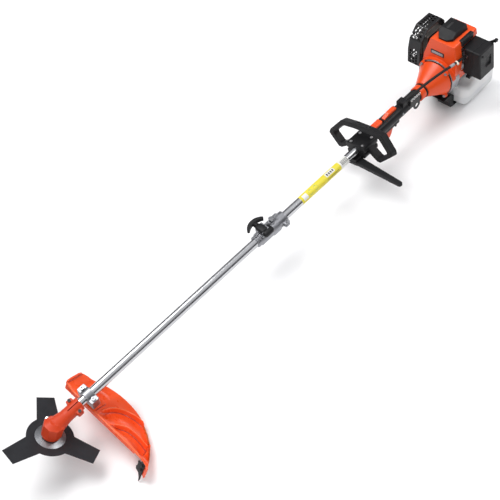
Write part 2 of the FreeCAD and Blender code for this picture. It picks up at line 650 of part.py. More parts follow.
def throttle_trigger():
    half = 6.2
    profile = [V(-1284, -half, -16), V(-1295, -half, -16), V(-1338, -half, -28), V(-1341, -half, -35),
               V(-1335, -half, -45), V(-1331, -half, -58), V(-1323, -half, -66), V(-1313, -half, -62),
               V(-1307, -half, -46), V(-1297, -half, -32), V(-1284, -half, -25)]
    blade = rounded(prism(profile, V(0, 2 * half, 0)), 2.0, Y)
    axle = cyl(3.0 - FIT, V(TRIGGER_X, -11.5, TRIGGER_Z), Y, 23.0)
    return fuse(blade, axle)


def lockout_lever():
    half = 6.0
    profile = [V(-1298.5, -half, 18.0), V(-1355, -half, 23.5), V(-1355, -half, 33), V(-1346, -half, 37),
               V(-1322, -half, 36), V(-1298.5, -half, 28)]
    blade = rounded(prism(profile, V(0, 2 * half, 0)), 1.5, Y)
    axle = cyl(2.0 - FIT, V(LOCKOUT_X, -11.5, LOCKOUT_Z), Y, 23.0)
    return fuse(blade, axle)


def stop_switch():
    button = rounded(box(-1246.5, -1285.0, -8.9, 8.9, 19.0, 34.0), 3.0, Z)
    grooves = [box(x, x + 2.0, -20, 20, 32.6, 40) for x in (-1262.0, -1268.0, -1274.0)]
    for groove in grooves:
        button = button.cut(groove)
    return button


def throttle_cable():
    return tube_along(CABLE_ROUTE, CABLE_R)


def harness_hanger():
    """Clamp on the tube with a plate: a row of balance holes and the eye for the harness hook."""
    clamp = rounded(box(-1409.0, -1457.0, -17.0, 15.0, -17.0, 17.0), 6.0, X)
    plate_profile = [V(-1409, 15, 32), V(-1457, 15, 32), V(-1457, 15, -6), V(-1453, 15, -18),
                     V(-1431, 15, -18), V(-1420, 15, -4), V(-1409, 15, 2)]
    plate = rounded(prism(plate_profile, V(0, 4.0, 0)), 4.0, Y)
    eye = cyl(15.0, V(EYE.x, 15.0, EYE.z), Y, 4.0)
    body = fuse(clamp, plate, eye)
    body = body.cut(xcyl(TUBE_R, -1380, -1480))
    body = body.cut(cyl(EYE_R, V(EYE.x, 14.95, EYE.z), Y, 10.0))
    for k in range(4):
        body = body.cut(cyl(3.6, V(-1415.0 - 12.0 * k, 14.95, 25.0), Y, 10.0))
    body = body.cut(box(-1400, -1460, -20.0, -12.0, -1.0, 1.0))
    return body


# ---- clutch and engine --------------------------------------------------------------------
def clutch_housing():
    collar = xcyl(24.0, CLUTCH_FRONT, -1484.0)
    groove = xcyl(21.5, -1484.0, -1492.0)
    cone = xcone(26.0, -1492.0, 60.0, CLUTCH_MOUTH)
    body = fuse(collar, groove, cone)
    inside = xcone(39.5, -1527.0, 56.5, CLUTCH_MOUTH - 0.01)
    body = body.cut(inside).cut(xcyl(TUBE_R, CLUTCH_FRONT + 5, UPPER_TUBE_REAR))
    body = body.cut(xcyl(11.0, UPPER_TUBE_REAR + 1, -1515.0)).cut(xcyl(8.0 + FIT, -1514.0, -1530.0))
    ears = []
    for k in range(4):
        spot = polar(62.0, 45 + 90 * k)
        ears.append(xcyl(6.5, -1548.0, CLUTCH_MOUTH, spot.x, spot.y))
    body = fuse(body, *ears).cut(xcone(39.5, -1527.0, 56.5, CLUTCH_MOUTH - 0.01))
    return body


def clutch_drum():
    hub = xcyl(8.0, -1516.5, -1537.0)
    disc = xcyl(38.0, -1535.0, -1538.0)
    rim = xcyl(38.0, -1538.0, -1562.0).cut(xcyl(35.5, -1537.0, -1563.0))
    return fuse(hub, disc, rim).cut(xcyl(4.0, -1510.0, -1530.0))


def clutch_shoes():
    """Two centrifugal shoes and the boss that carries them."""
    ring = xcyl(34.0, -1542.0, -1560.0).cut(xcyl(20.0, -1541.0, -1561.0))
    boss = xcyl(14.0, -1542.0, -1563.0).cut(xcyl(7.0, -1541.0, -1566.0))
    arm = box(-1548.0, -1554.0, -1.8, 1.8, -30.0, 30.0).cut(xcyl(13.5, -1540.0, -1570.0))
    ring = ring.cut(box(-1541, -1561, -50, 50, -3.0, 3.0))
    links = box(-1548.0, -1554.0, -4.0, 4.0, -22.0, 22.0).cut(xcyl(13.5, -1540.0, -1570.0))
    return fuse(boss, ring, arm, links)


def crankcase():
    """Cast case: the fan bowl in front, the crank chamber, and the deck for the cylinder."""
    bowl = xcyl(64.0, CASE_FRONT, -1598.0).cut(xcyl(60.0, CASE_FRONT + 1, -1594.0))
    chamber = xcyl(38.0, -1597.0, CASE_REAR).cut(xcyl(30.0, -1603.0, CASE_REAR + 6))
    deck = box(-1600.0, -1667.0, -34.0, 34.0, 10.0, 44.0).cut(xcyl(30.0, -1590.0, CASE_REAR - 5))
    feet = [box(-1603.0, -1664.0, 20.0 * s, 34.0 * s, TANK_TOP, -20.0) for s in (-1, 1)]
    rear_ring = xcyl(46.0, -1662.0, CASE_REAR)
    body = fuse(bowl, chamber, deck, rear_ring, *feet)
    body = body.cut(xcyl(30.0, -1603.0, CASE_REAR + 6))
    body = body.cut(xcyl(8.0 + FIT, -1580.0, CASE_REAR - 10))
    body = body.cut(box(-1598.0, CASE_REAR - 5, -60.0, 60.0, 44.0, 80.0))
    body = body.cut(box(-1598.0, CASE_REAR - 5, -60.0, 60.0, TANK_TOP, -80.0))
    body = body.cut(cyl(BORE_R, V(CYL_X, 0, 20.0), Z, 30.0))
    return body


def flywheel():
    disc = xcyl(54.0, -1584.0, -1588.0)
    hub = xcyl(16.0, -1566.0, -1590.0)
    fins = []
    for k in range(14):
        fin = box(-1572.0, -1584.5, 26.0, 53.0, -1.2, 1.2)
        fin.rotate(CENTRE, X, 360.0 * k / 14)
        fins.append(fin)
    return fuse(disc, hub, *fins).cut(xcyl(7.0, -1560.0, -1600.0))


def crankshaft():
    front = xcyl(7.0, -1543.0, -1592.0)
    journal_a = xcyl(8.0, -1592.0, -1612.0)
    journal_b = xcyl(8.0, -1652.0, -1686.0)
    webs = []
    for x0 in (-1611.0, -1645.0):
        web = xcyl(27.0, x0, x0 - 9.0)
        webs.append(web.cut(box(x0 + 1, x0 - 10, -40.0, 40.0, 24.5, 40.0)))
    pin = xcyl(7.0, -1619.0, -1646.0, 0.0, CRANK_THROW)
    return fuse(front, journal_a, journal_b, pin, *webs)


def piston():
    top = 98.0
    crown = cyl(BORE_R - FIT, V(CYL_X, 0, top - 36.0), Z, 36.0)
    crown = crown.cut(cyl(18.0, V(CYL_X, 0, top - 37.0), Z, 30.0))
    for z in (top - 5.0, top - 9.0):
        groove = cyl(30.0, V(CYL_X, 0, z), Z, 1.4).cut(cyl(BORE_R - 1.2, V(CYL_X, 0, z - 1), Z, 4.0))
        crown = crown.cut(groove)
    wrist = cyl(5.0, V(CYL_X, -19.0, top - 18.0), Y, 38.0)
    return fuse(crown, wrist)


def connecting_rod():
    """Drawn with its lower end open above the crank pin's path."""
    shank = box(CYL_X - 3.5, CYL_X + 3.5, -4.5, 4.5, CRANK_THROW + 8.0, 74.0)
    eye = cyl(9.0, V(CYL_X, -5.0, 80.0), Y, 10.0)
    return fuse(shank, eye).cut(cyl(5.0, V(CYL_X, -20.0, 80.0), Y, 40.0))


def cylinder():
    barrel = cyl(29.0, V(CYL_X, 0, 44.0), Z, 78.0)
    base = box(-1601.0, -1665.0, -33.0, 33.0, 44.0, 50.0)
    # the upper fins are shorter, under the shroud's sloping right side
    fins = [rounded(box(-1599.0, -1669.0, -36.0 if z < 90 else -31.0, 36.0, z, z + 2.4), 10.0, Z)
            for z in range(58, 122, 8)]
    ports = [cyl(13.0, V(CYL_X, 25.0 * s, PORT_Z), V(0, s, 0), 14.0) for s in (-1, 1)]
    body = fuse(barrel, base, *(fins + ports))
    chamber = fuse(cyl(BORE_R, V(CYL_X, 0, 40.0), Z, 62.0),
                   Part.makeCone(BORE_R, 8.0, 9.0, V(CYL_X, 0, 102.0), Z),
                   cyl(5.0, V(CYL_X, 0, 105.0), Z, 20.0))
    body = body.cut(chamber)
    for s in (-1, 1):
        body = body.cut(cyl(8.0, V(CYL_X, 18.0 * s, PORT_Z), V(0, s, 0), 30.0))
    return body


def spark_plug():
    thread = cyl(5.0, V(CYL_X, 0, 110.0), Z, 12.0)
    nut = hexagon_bar(16.0, V(CYL_X, 0, 122.0), Z, 9.0)
    boot = cyl(7.5, V(CYL_X, 0, 131.0), Z, 14.0)
    lead = cyl(4.5, V(CYL_X, 0, 139.0), V(-1, 0, 0), 22.0)
    return fuse(thread, nut, boot, lead)


def shroud_outline(inset):
    return [(-58.0 + inset, -6.0), (-60.0 + inset, 30.0), (-56.0 + inset, 64.0),
            (-34.0 + inset, 132.0 - inset), (52.0 - inset, 132.0 - inset), (63.0 - inset, 70.0),
            (61.0 - inset, -6.0)]


def engine_shroud():
    outer = prism([V(-1573.0, y, z) for y, z in shroud_outline(0.0)], V(-115.0, 0, 0))
    outer = rounded(outer, 6.0, X)
    inner = prism([V(-1576.5, y, z) for y, z in shroud_outline(3.2)], V(-120.0, 0, 0))
    shell = outer.cut(inner)
    shell = shell.cut(xcyl(64.3, -1500.0, -1600.0))
    shell = shell.cut(xcyl(51.0, -1600.0, -1700.0))
    shell = shell.cut(box(-1600.0, -1668.0, -80.0, -40.0, 30.0, 106.0))
    shell = shell.cut(box(-1606.0, -1700.0, 40.0, 80.0, 24.0, AIR_HIGH + 2.0))
    shell = shell.cut(box(-1606.0, -1662.0, -24.0, 26.0, 120.0, 140.0))
    # a collar over the upper part of the fan bowl
    collar = xcyl(67.0, -1561.0, -1576.0).cut(xcyl(64.3, -1550.0, -1580.0))
    collar = collar.common(box(-1550.0, -1590.0, -80.0, 80.0, 16.0, 80.0))
    return fuse(shell, collar)


def cover_form(inset):
    """Low hood over the spark plug with a blunt sloping nose, drawn inset millimetres inside."""
    rear = COVER_REAR + inset
    front = COVER_FRONT - inset
    top = COVER_TOP - inset
    low = COVER_LOW if not inset else COVER_LOW - 1.0
    right = COVER_RIGHT + inset
    left = COVER_LEFT - inset
    plan = prism([V(front, -11 + inset, low), V(front, 17 - inset, low), V(front - 12, left - 3, low),
                  V(rear, left, low), V(rear, right, low), V(front - 29, right, low)], V(0, 0, 40.0))
    sides = prism([V(front, right, low), V(front, right + 6, top), V(front, left - 6, top),
                   V(front, left, low)], V(rear - front, 0, 0))
    slope = prism([V(front, -60, low), V(front, -60, low + 5.0), V(front - 33, -60, top), V(rear, -60, top),
                   V(rear, -60, low)], V(0, 120.0, 0))
    return plan.common(sides).common(slope)


def top_cover():
    slot = rounded(box(-1620.0, -1652.0, -12.0, -5.0, COVER_TOP - 2.4, COVER_TOP + 5.0), 3.4, Z)
    return cover_form(0.0).cut(cover_form(3.0)).cut(slot)


def muffler():
    can = rounded(box(-1596.0, -1672.0, -98.0, -60.0, 24.0, 104.0), 8.0, Y)
    stub = cyl(12.0, V(CYL_X, -60.5, PORT_Z), V(0, 1, 0), 21.5)
    outlet = cyl(6.0, V(-1655.0, -97.0, 40.0), V(0, -1, 0), 8.0)
    seam = rounded(box(-1593.0, -1675.0, -80.0, -77.0, 21.0, 107.0), 9.0, Y)
    return fuse(can, stub, seam, outlet)


def muffler_guard():
    outline = [V(-1566, -66, 6), V(-1584, -66, -8), V(-1672, -66, -8), V(-1692, -66, 12),
               V(-1692, -66, 106), V(-1672, -66, 128), V(-1606, -66, 128), V(-1574, -66, 96),
               V(-1566, -66, 60)]
    outer = prism(outline, V(0, -46.0, 0))
    outer = rounded(outer, 8.0, Y)
    inner = outer.copy()
    scale = FreeCAD.Matrix()
    scale.scale(1 - 5.0 / 126.0, 1, 1 - 5.0 / 136.0)
    middle = V(-1629.0, 0, 60.0)
    inner.translate(middle * -1.0)
    inner = inner.transformGeometry(scale)
    inner.translate(middle + V(0, 2.5, 0))
    shell = outer.cut(inner)
    for k in range(6):
        slot = rounded(box(-1590.0, -1668.0, -120.0, -105.0, 10.0 + 18.0 * k, 18.0 + 18.0 * k), 3.9, Y)
        shell = shell.cut(slot)
    return shell


def carburettor():
    insulator = box(-1619.0, -1647.0, 39.0, 46.0, 56.0, 80.0)
    body = rounded(box(-1615.0, -1651.0, 46.0, 76.0, 50.0, 88.0), 3.0, Y)
    pump = box(-1619.0, -1647.0, 46.0, 63.0, 44.0, 50.0)
    throat = cyl(9.0, V(CYL_X, 38.0, PORT_Z), Y, 60.0)
    shape = fuse(insulator, body, pump)
    return shape.cut(throat)


def air_filter_case():
    outer = rounded(box(AIR_X0, AIR_X1, 64.5, AIR_SPLIT, AIR_LOW, AIR_HIGH), 6.0, Y)
    shelf = box(AIR_X0 - 3.0, AIR_X1 + 3.0, 52.0, 70.0, AIR_HIGH - 2.5, AIR_HIGH)
    inner = box(AIR_X0 - 2.5, AIR_X1 + 2.5, 60.0, 76.0, AIR_LOW + 2.5, AIR_HIGH - 2.5)
    tray = box(AIR_X0 - 4.0, AIR_X1 + 4.0, 80.0, 95.0, AIR_LOW + 4.0, AIR_HIGH - 4.0)
    body = fuse(outer, shelf).cut(inner).cut(tray)
    body = body.cut(cyl(9.0, V(CYL_X, 60.0, PORT_Z), Y, 30.0))
    body = body.cut(box(AIR_X0 + 2, AIR_X0 - 4, 60.0, 75.0, 74.0, 89.0))
    lug = rounded(box(AIR_X0 + 5, AIR_X0 - 8, 78.0, AIR_SPLIT, AIR_LOW - 8, AIR_LOW + 1), 3.0, Y)
    return fuse(body, lug)


def air_filter_cover():
    # the outer face leans out towards the bottom
    outer = rounded(box(AIR_X0, AIR_X1, AIR_SPLIT + FIT, 130.0, AIR_LOW, AIR_HIGH), 6.0, Y)
    beside = AIR_X0 + 5.0
    lean = prism([V(beside, 80, AIR_LOW - 1), V(beside, 128, AIR_LOW - 1), V(beside, 118, AIR_HIGH + 1),
                  V(beside, 80, AIR_HIGH + 1)], V(AIR_X1 - AIR_X0 - 10, 0, 0))
    outer = outer.common(lean)
    front = [edge for edge in outer.Edges if edge.BoundBox.YMin > 117.5]
    outer = outer.makeFillet(4.0, front)
    inner = box(AIR_X0 - 4.0, AIR_X1 + 4.0, 90.0, 114.5, AIR_LOW + 4.0, AIR_HIGH - 4.0)
    body = outer.cut(inner)
    recess = box(-1640.0, -1668.0, 119.0, 135.0, 46.0, 80.0)
    hole = cyl(2.4, V(-1668.0, 132.0, 66.0), V(0, -1, 0), 15.0)
    lug = rounded(box(AIR_X1 - 8, AIR_X1 + 8, 96.0, 112.0, AIR_LOW - 10, AIR_LOW + 1), 3.0, Y)
    return fuse(body, lug).cut(recess).cut(hole)


CHOKE_PIVOT = V(AIR_X1 - 4.0, 98.0, 96.0)


def choke_lever():
    pivot = xcyl(5.0, AIR_X1 - 0.4, AIR_X1 - 6.4, CHOKE_PIVOT.y, CHOKE_PIVOT.z)
    arm = prism([V(AIR_X1 - 2.0, 94, 97), V(AIR_X1 - 2.0, 99, 92), V(AIR_X1 - 2.0, 126, 112),
                 V(AIR_X1 - 2.0, 123, 119), V(AIR_X1 - 2.0, 117, 118)], V(-4.0, 0, 0))
    knob = rounded(box(AIR_X1 + 3.0, AIR_X1 - 9.0, 115.0, 125.0, 111.0, 119.0), 2.0, X)
    return fuse(pivot, arm, knob)


def primer_bulb():
    bulb = Part.makeSphere(8.0, V(CYL_X, 54.5, 38.0))
    bulb = bulb.common(box(-1660, -1600, 40, 80, 20.0, 38.0))
    ring = cyl(9.0, V(CYL_X, 54.5, 38.0), Z, 1.6)
    return fuse(bulb, ring)


def fuel_tank():
    outer = box(-1606.0, -1772.0, -86.0, 86.0, -122.0, TANK_TOP)
    outer = rounded(outer, 26.0, Z)
    ends = [e for e in outer.Edges if e.BoundBox.ZMax < -121.9]
    outer = outer.makeFillet(24.0, ends)
    ends = [e for e in outer.Edges if e.BoundBox.ZMin > TANK_TOP - 0.1]
    outer = outer.makeFillet(14.0, ends)
    outer = outer.cut(fuse(xcyl(58.0, -1684.0, -1800.0), xcyl(51.0, -1660.0, -1690.0)))
    neck = cyl(13.0, V(CAP_X, -84.0, CAP_Z), V(0, -1, 0), 10.0)
    body = fuse(outer, neck)
    body = body.cut(cyl(10.5, V(CAP_X, -60.0, CAP_Z), V(0, -1, 0), 40.0))
    inner = box(-1609.0, -1769.0, -83.0, 83.0, -119.0, TANK_TOP - 3.0)
    inner = rounded(inner, 23.0, Z)
    ends = [e for e in inner.Edges if e.BoundBox.ZMax < -118.9]
    inner = inner.makeFillet(21.0, ends)
    ends = [e for e in inner.Edges if e.BoundBox.ZMin > TANK_TOP - 3.1]
    inner = inner.makeFillet(11.0, ends)
    inner = inner.cut(fuse(xcyl(61.0, -1681.0, -1800.0), xcyl(54.0, -1657.0, -1690.0)))
    return body.cut(inner)


def fuel_cap():
    disc = cyl(19.0, V(CAP_X, -87.0, CAP_Z), V(0, -1, 0), 17.0)
    disc = disc.cut(cyl(13.0 + 0.08, V(CAP_X, -80.0, CAP_Z), V(0, -1, 0), 14.1))
    notches = []
    for k in range(12):
        spot = polar(20.0, 30 * k)
        notches.append(cyl(2.4, V(CAP_X + spot.x, -88.0, CAP_Z + spot.y), V(0, -1, 0), 20.0))
    return disc.cut(fuse(notches[0], *notches[1:]))


def tank_stand():
    """Skid: a curved front leg under the fan bowl, and a base plate under the tank."""
    leg = [V(-1548, -44, -68), V(-1580, -44, -66), V(-1603, -44, -82), V(-1604, -44, -122.3),
           V(-1760, -44, -122.3), V(-1760, -44, STAND_Z), V(-1600, -44, STAND_Z), V(-1588, -44, -122),
           V(-1580, -44, -96), V(-1568, -44, -80)]
    body = prism(leg, V(0, 88.0, 0))
    # the lower half of the front leg stands on the operator's left only
    window = rounded(box(-1540.0, -1601.0, -60.0, -6.0, -140.0, -94.0), 6.0, X)
    return body.cut(window).cut(xcyl(64.02, -1500.0, -1700.0))


def starter_housing():
    bowl = xcyl(56.0, STARTER_FRONT, STARTER_REAR)
    dome = xcone(56.0, STARTER_REAR, 44.0, STARTER_REAR - 10.0)
    body = fuse(bowl, dome).cut(xcyl(52.5, STARTER_FRONT + 1, STARTER_REAR + 1.0))
    guide = cyl(9.0, V(ROPE_X, ROPE_Y, 50.0), Z, 14.0)
    spider = fuse(xcyl(54.0, STARTER_FRONT + 4.0, STARTER_FRONT).cut(xcyl(47.0, -1680, -1700)),
                  xcyl(50.0, -1668.0, STARTER_FRONT).cut(xcyl(46.2, -1660, -1700)))
    body = fuse(body, guide, spider)
    body = body.cut(cyl(3.0, V(ROPE_X, ROPE_Y, 40.0), Z, 40.0))
    slots = []
    for k in range(12):
        slot = rounded(box(-1730.0, -1760.0, 24.0, 40.0, -2.5, 2.5), 2.4, X)
        slot.rotate(CENTRE, X, 30.0 * k)
        slots.append(slot)
    post = xcyl(6.0, STARTER_REAR + 20.0, STARTER_REAR - 5.0)
    return fuse(body.cut(fuse(slots[0], *slots[1:])), post)


def starter_reel():
    drum = xcyl(24.0, -1706.0, -1724.0)
    sides = [xcyl(40.0, x, x - 2.5) for x in (-1704.0, -1723.0)]
    rope = xcyl(33.0, -1706.0, -1723.5)
    return fuse(drum, rope, *sides).cut(xcyl(6.0 + FIT, -1700.0, -1740.0))


def starter_rope():
    return cyl(2.0, V(ROPE_X, ROPE_Y, 64.0), Z, 6.0)


def starter_grip():
    bar = rounded(box(ROPE_X - 10, ROPE_X + 10, ROPE_Y - 22, ROPE_Y + 22, 70.0, 86.0), 7.0, Y)
    return fuse(bar, cyl(6.0, V(ROPE_X, ROPE_Y, 70.0), Z, 10.0))


# ---- write everything ---------------------------------------------------------------------
def main():
    os.makedirs("parts", exist_ok=True)
    attachment = {
        "cutting_blade": cutting_blade, "upper_flange": upper_flange, "lower_flange": lower_flange,
        "blade_nut": blade_nut, "output_shaft": output_shaft, "driven_gear": driven_gear,
        "pinion_shaft": pinion_shaft, "gear_head_casing": gear_head_casing,
        "gear_head_bearings": gear_head_bearings, "clamp_screws": clamp_screws,
        "grease_plug": grease_plug, "lower_tube": lower_tube, "lower_drive_shaft": lower_drive_shaft,
        "guard_shell": guard_shell, "guard_bracket": guard_bracket,
        "guard_bracket_bolts": guard_bracket_bolts, "line_cutter": line_cutter,
    }
    for name, make in attachment.items():
        export(name, make(), HEAD_ROLL)
    handle = {"loop_handle": loop_handle, "handle_clamp": handle_clamp, "handle_screws": handle_screws,
              "barrier_bar": barrier_bar}
    for name, make in handle.items():
        export(name, make(), HANDLE_ROLL)
    upper = {
        "coupler_housing": coupler_housing, "coupler_knob": coupler_knob, "locating_pin": locating_pin,
        "coupler_bolt": coupler_bolt, "upper_tube": upper_tube, "upper_drive_shaft": upper_drive_shaft,
        "throttle_trigger": throttle_trigger, "lockout_lever": lockout_lever, "stop_switch": stop_switch,
        "throttle_cable": throttle_cable, "harness_hanger": harness_hanger,
        "clutch_housing": clutch_housing, "clutch_drum": clutch_drum, "clutch_shoes": clutch_shoes,
        "crankcase": crankcase, "flywheel": flywheel, "crankshaft": crankshaft, "piston": piston,
        "connecting_rod": connecting_rod, "cylinder": cylinder, "spark_plug": spark_plug,
        "engine_shroud": engine_shroud, "top_cover": top_cover, "muffler": muffler,
        "muffler_guard": muffler_guard, "carburettor": carburettor,
        "air_filter_case": air_filter_case, "air_filter_cover": air_filter_cover,
        "choke_lever": choke_lever, "primer_bulb": primer_bulb, "fuel_tank": fuel_tank,
        "fuel_cap": fuel_cap, "tank_stand": tank_stand, "starter_housing": starter_housing,
        "starter_reel": starter_reel, "starter_rope": starter_rope, "starter_grip": starter_grip,
    }
    for name, make in upper.items():
        export(name, make())
    export("grip_left", grip_half(1))
    export("grip_right", grip_half(-1))


main()
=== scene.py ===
import json
import math

import bmesh
import bpy
from mathutils import Matrix, Vector


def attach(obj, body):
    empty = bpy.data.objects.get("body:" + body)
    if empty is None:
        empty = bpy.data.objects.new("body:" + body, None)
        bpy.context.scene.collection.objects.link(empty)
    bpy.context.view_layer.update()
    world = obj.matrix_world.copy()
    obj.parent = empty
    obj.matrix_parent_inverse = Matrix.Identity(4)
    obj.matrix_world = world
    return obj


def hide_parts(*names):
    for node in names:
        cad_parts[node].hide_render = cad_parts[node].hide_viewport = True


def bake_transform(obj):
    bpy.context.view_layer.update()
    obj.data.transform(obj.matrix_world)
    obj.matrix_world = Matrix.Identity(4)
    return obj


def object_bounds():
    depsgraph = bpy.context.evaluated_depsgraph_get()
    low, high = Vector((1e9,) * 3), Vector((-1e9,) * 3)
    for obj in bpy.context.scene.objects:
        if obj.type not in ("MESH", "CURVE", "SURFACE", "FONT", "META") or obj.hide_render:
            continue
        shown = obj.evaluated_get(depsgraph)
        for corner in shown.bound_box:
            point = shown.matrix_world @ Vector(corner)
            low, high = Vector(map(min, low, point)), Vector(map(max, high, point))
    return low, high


# Split-shaft petrol brush cutter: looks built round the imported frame, in metres.
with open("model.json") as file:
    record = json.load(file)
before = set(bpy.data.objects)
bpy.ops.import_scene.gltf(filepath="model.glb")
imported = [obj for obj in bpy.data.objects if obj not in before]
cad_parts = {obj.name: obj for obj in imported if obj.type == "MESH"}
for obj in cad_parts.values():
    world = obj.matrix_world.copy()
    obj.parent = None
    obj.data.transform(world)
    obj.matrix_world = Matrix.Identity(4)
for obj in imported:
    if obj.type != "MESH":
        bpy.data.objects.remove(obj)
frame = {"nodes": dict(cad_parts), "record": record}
cad_low, cad_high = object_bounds()

NODES = frame["nodes"]
RECORD = frame["record"]
BODY_OF = {node: body for body, nodes in RECORD["behaviour"]["bodies"].items() for node in nodes}
SLOT_OF = {row["node"]: row["material_slot"] for row in RECORD["subparts"]}
SCENE = bpy.context.scene

MM = 0.001
EYE = Vector((-1442.0, 17.0, -14.0))     # the frame's origin in the drawing's millimetres
HEAD_TILT = math.radians(-28.0)
HEAD_ROLL = math.radians(-10.0)
TUBE_R = 13.0


def at(x, y, z):
    """A point of the drawing, in millimetres along the shaft, as a point of the frame."""
    return (Vector((x, y, z)) - EYE) * MM


def about_x(point, angle):
    return Matrix.Rotation(angle, 3, "X") @ Vector(point)


def head_point(x, y, z):
    """A point of the blade's own frame, in millimetres, as a point of the frame."""
    turned = Matrix.Rotation(HEAD_TILT, 3, "Y") @ Vector((x, y, z))
    return (about_x(turned, HEAD_ROLL) - EYE) * MM


# ---- materials ----------------------------------------------------------------------------
class Paint:
    """A Principled material with noise-driven colour, roughness and bump."""

    def __init__(self, name, **constants):
        self.material = bpy.data.materials.new(name)
        self.material.use_nodes = True
        self.tree = self.material.node_tree
        self.shader = self.tree.nodes["Principled BSDF"]
        for socket, value in constants.items():
            self.shader.inputs[socket.replace("_", " ")].default_value = value
        self.where = self.tree.nodes.new("ShaderNodeTexCoord").outputs["Object"]

    def node(self, kind, **settings):
        made = self.tree.nodes.new(kind)
        for key, value in settings.items():
            setattr(made, key, value)
        return made

    def link(self, source, target):
        self.tree.links.new(source, target)

    def stretched(self, scale):
        mapping = self.node("ShaderNodeMapping")
        mapping.inputs["Scale"].default_value = scale
        self.link(self.where, mapping.inputs["Vector"])
        return mapping.outputs["Vector"]

    def noise(self, scale, detail=4.0, stretch=(1, 1, 1)):
        made = self.node("ShaderNodeTexNoise")
        made.inputs["Scale"].default_value = scale
        made.inputs["Detail"].default_value = detail
        self.link(self.stretched(stretch), made.inputs["Vector"])
        return made.outputs["Fac"]

    def ramp(self, source, stops):
        made = self.node("ShaderNodeValToRGB")
        elements = made.color_ramp.elements
        while len(elements) < len(stops):
            elements.new(0.5)
        for element, (position, colour) in zip(elements, stops):
            element.position = position
            element.color = (*colour, 1.0)
        self.link(source, made.inputs["Fac"])
        return made.outputs["Color"]

    def span(self, source, low, high):
        made = self.node("ShaderNodeMapRange")
        made.inputs["From Min"].default_value = 0.3
        made.inputs["From Max"].default_value = 0.7
        made.inputs["To Min"].default_value = low
        made.inputs["To Max"].default_value = high
        self.link(source, made.inputs["Value"])
        return made.outputs["Result"]

    def mix(self, share, first, second):
        made = self.node("ShaderNodeMix", data_type="RGBA")
        self.link(share, made.inputs["Factor"])
        for socket, value in ((made.inputs[6], first), (made.inputs[7], second)):
            if isinstance(value, tuple):
                socket.default_value = (*value, 1.0)
            else:
                self.link(value, socket)
        return made.outputs[2]

    # Pointiness mask: rubbed-edge wear on moulded plastic; on the guard, painted shade in creases and a
    # painted highlight on edges.
    def edge_wear_and_painted_light(self, low, high):
        sharp = self.node("ShaderNodeNewGeometry").outputs["Pointiness"]
        made = self.node("ShaderNodeMapRange")
        made.inputs["From Min"].default_value = low
        made.inputs["From Max"].default_value = high
        self.link(sharp, made.inputs["Value"])
        return made.outputs["Result"]

    def colour(self, output):
        self.link(output, self.shader.inputs["Base Color"])

    def roughness(self, output):
        self.link(output, self.shader.inputs["Roughness"])

    def bump(self, source, strength, distance):
        made = self.node("ShaderNodeBump")
        made.inputs["Strength"].default_value = strength
        made.inputs["Distance"].default_value = distance
        self.link(source, made.inputs["Height"])
        last = self.shader.inputs["Normal"]
        if last.is_linked:
            self.link(last.links[0].from_socket, made.inputs["Normal"])
        self.link(made.outputs["Normal"], last)


def tint(colour, factor):
    return tuple(min(1.0, channel * factor) for channel in colour)


def moulded_plastic(name, colour, rough, grain, grain_depth, lift=1.25, **constants):
    """Injection-moulded plastic: slight mottling, fine surface grain and rubbed edges."""
    paint = Paint(name, **constants)
    mottle = paint.noise(18.0)
    base = paint.ramp(mottle, [(0.3, tint(colour, 0.95)), (0.7, tint(colour, 1.04))])
    paint.colour(paint.mix(paint.edge_wear_and_painted_light(0.57, 0.72), base, tint(colour, lift)))
    paint.roughness(paint.span(paint.noise(60.0), rough - 0.05, rough + 0.07))
    paint.bump(paint.noise(grain, 2.0), 0.5, grain_depth)
    return paint.material


def turned_metal(name, colour, rough, stretch, depth, **constants):
    """Metal with fine drawing or turning lines and slightly uneven polish."""
    paint = Paint(name, Metallic=1.0, **constants)
    lines = paint.noise(260.0, 3.0, stretch)
    paint.colour(paint.ramp(lines, [(0.3, tint(colour, 0.88)), (0.7, tint(colour, 1.06))]))
    paint.roughness(paint.span(paint.noise(30.0), rough * 0.75, rough * 1.35))
    paint.bump(lines, 0.25, depth)
    return paint.material


def cast_metal(name, colour, rough):
    """Die-cast aluminium: sandy skin and small pits."""
    paint = Paint(name, Metallic=1.0)
    skin = paint.noise(900.0, 6.0)
    blotch = paint.noise(35.0)
    base = paint.ramp(blotch, [(0.3, tint(colour, 0.85)), (0.7, tint(colour, 1.1))])
    paint.colour(base)
    paint.roughness(paint.span(blotch, rough - 0.08, rough + 0.1))
    paint.bump(skin, 0.6, 0.00025)
    return paint.material


def painted_metal(name, colour, rough):
    """Paint or blacking over steel, clouded and faintly scratched."""
    paint = Paint(name, Specular_IOR_Level=0.4)
    cloud = paint.noise(45.0)
    scratch = paint.noise(120.0, 5.0, (1.0, 6.0, 6.0))
    base = paint.ramp(cloud, [(0.3, tint(colour, 0.8)), (0.7, tint(colour, 1.3))])
    scuffed = paint.mix(paint.span(scratch, 0.0, 0.18), base, tint(colour, 3.0))
    paint.colour(scuffed)
    paint.roughness(paint.span(scratch, rough - 0.06, rough + 0.1))
    paint.bump(scratch, 0.2, 0.0001)
    return paint.material


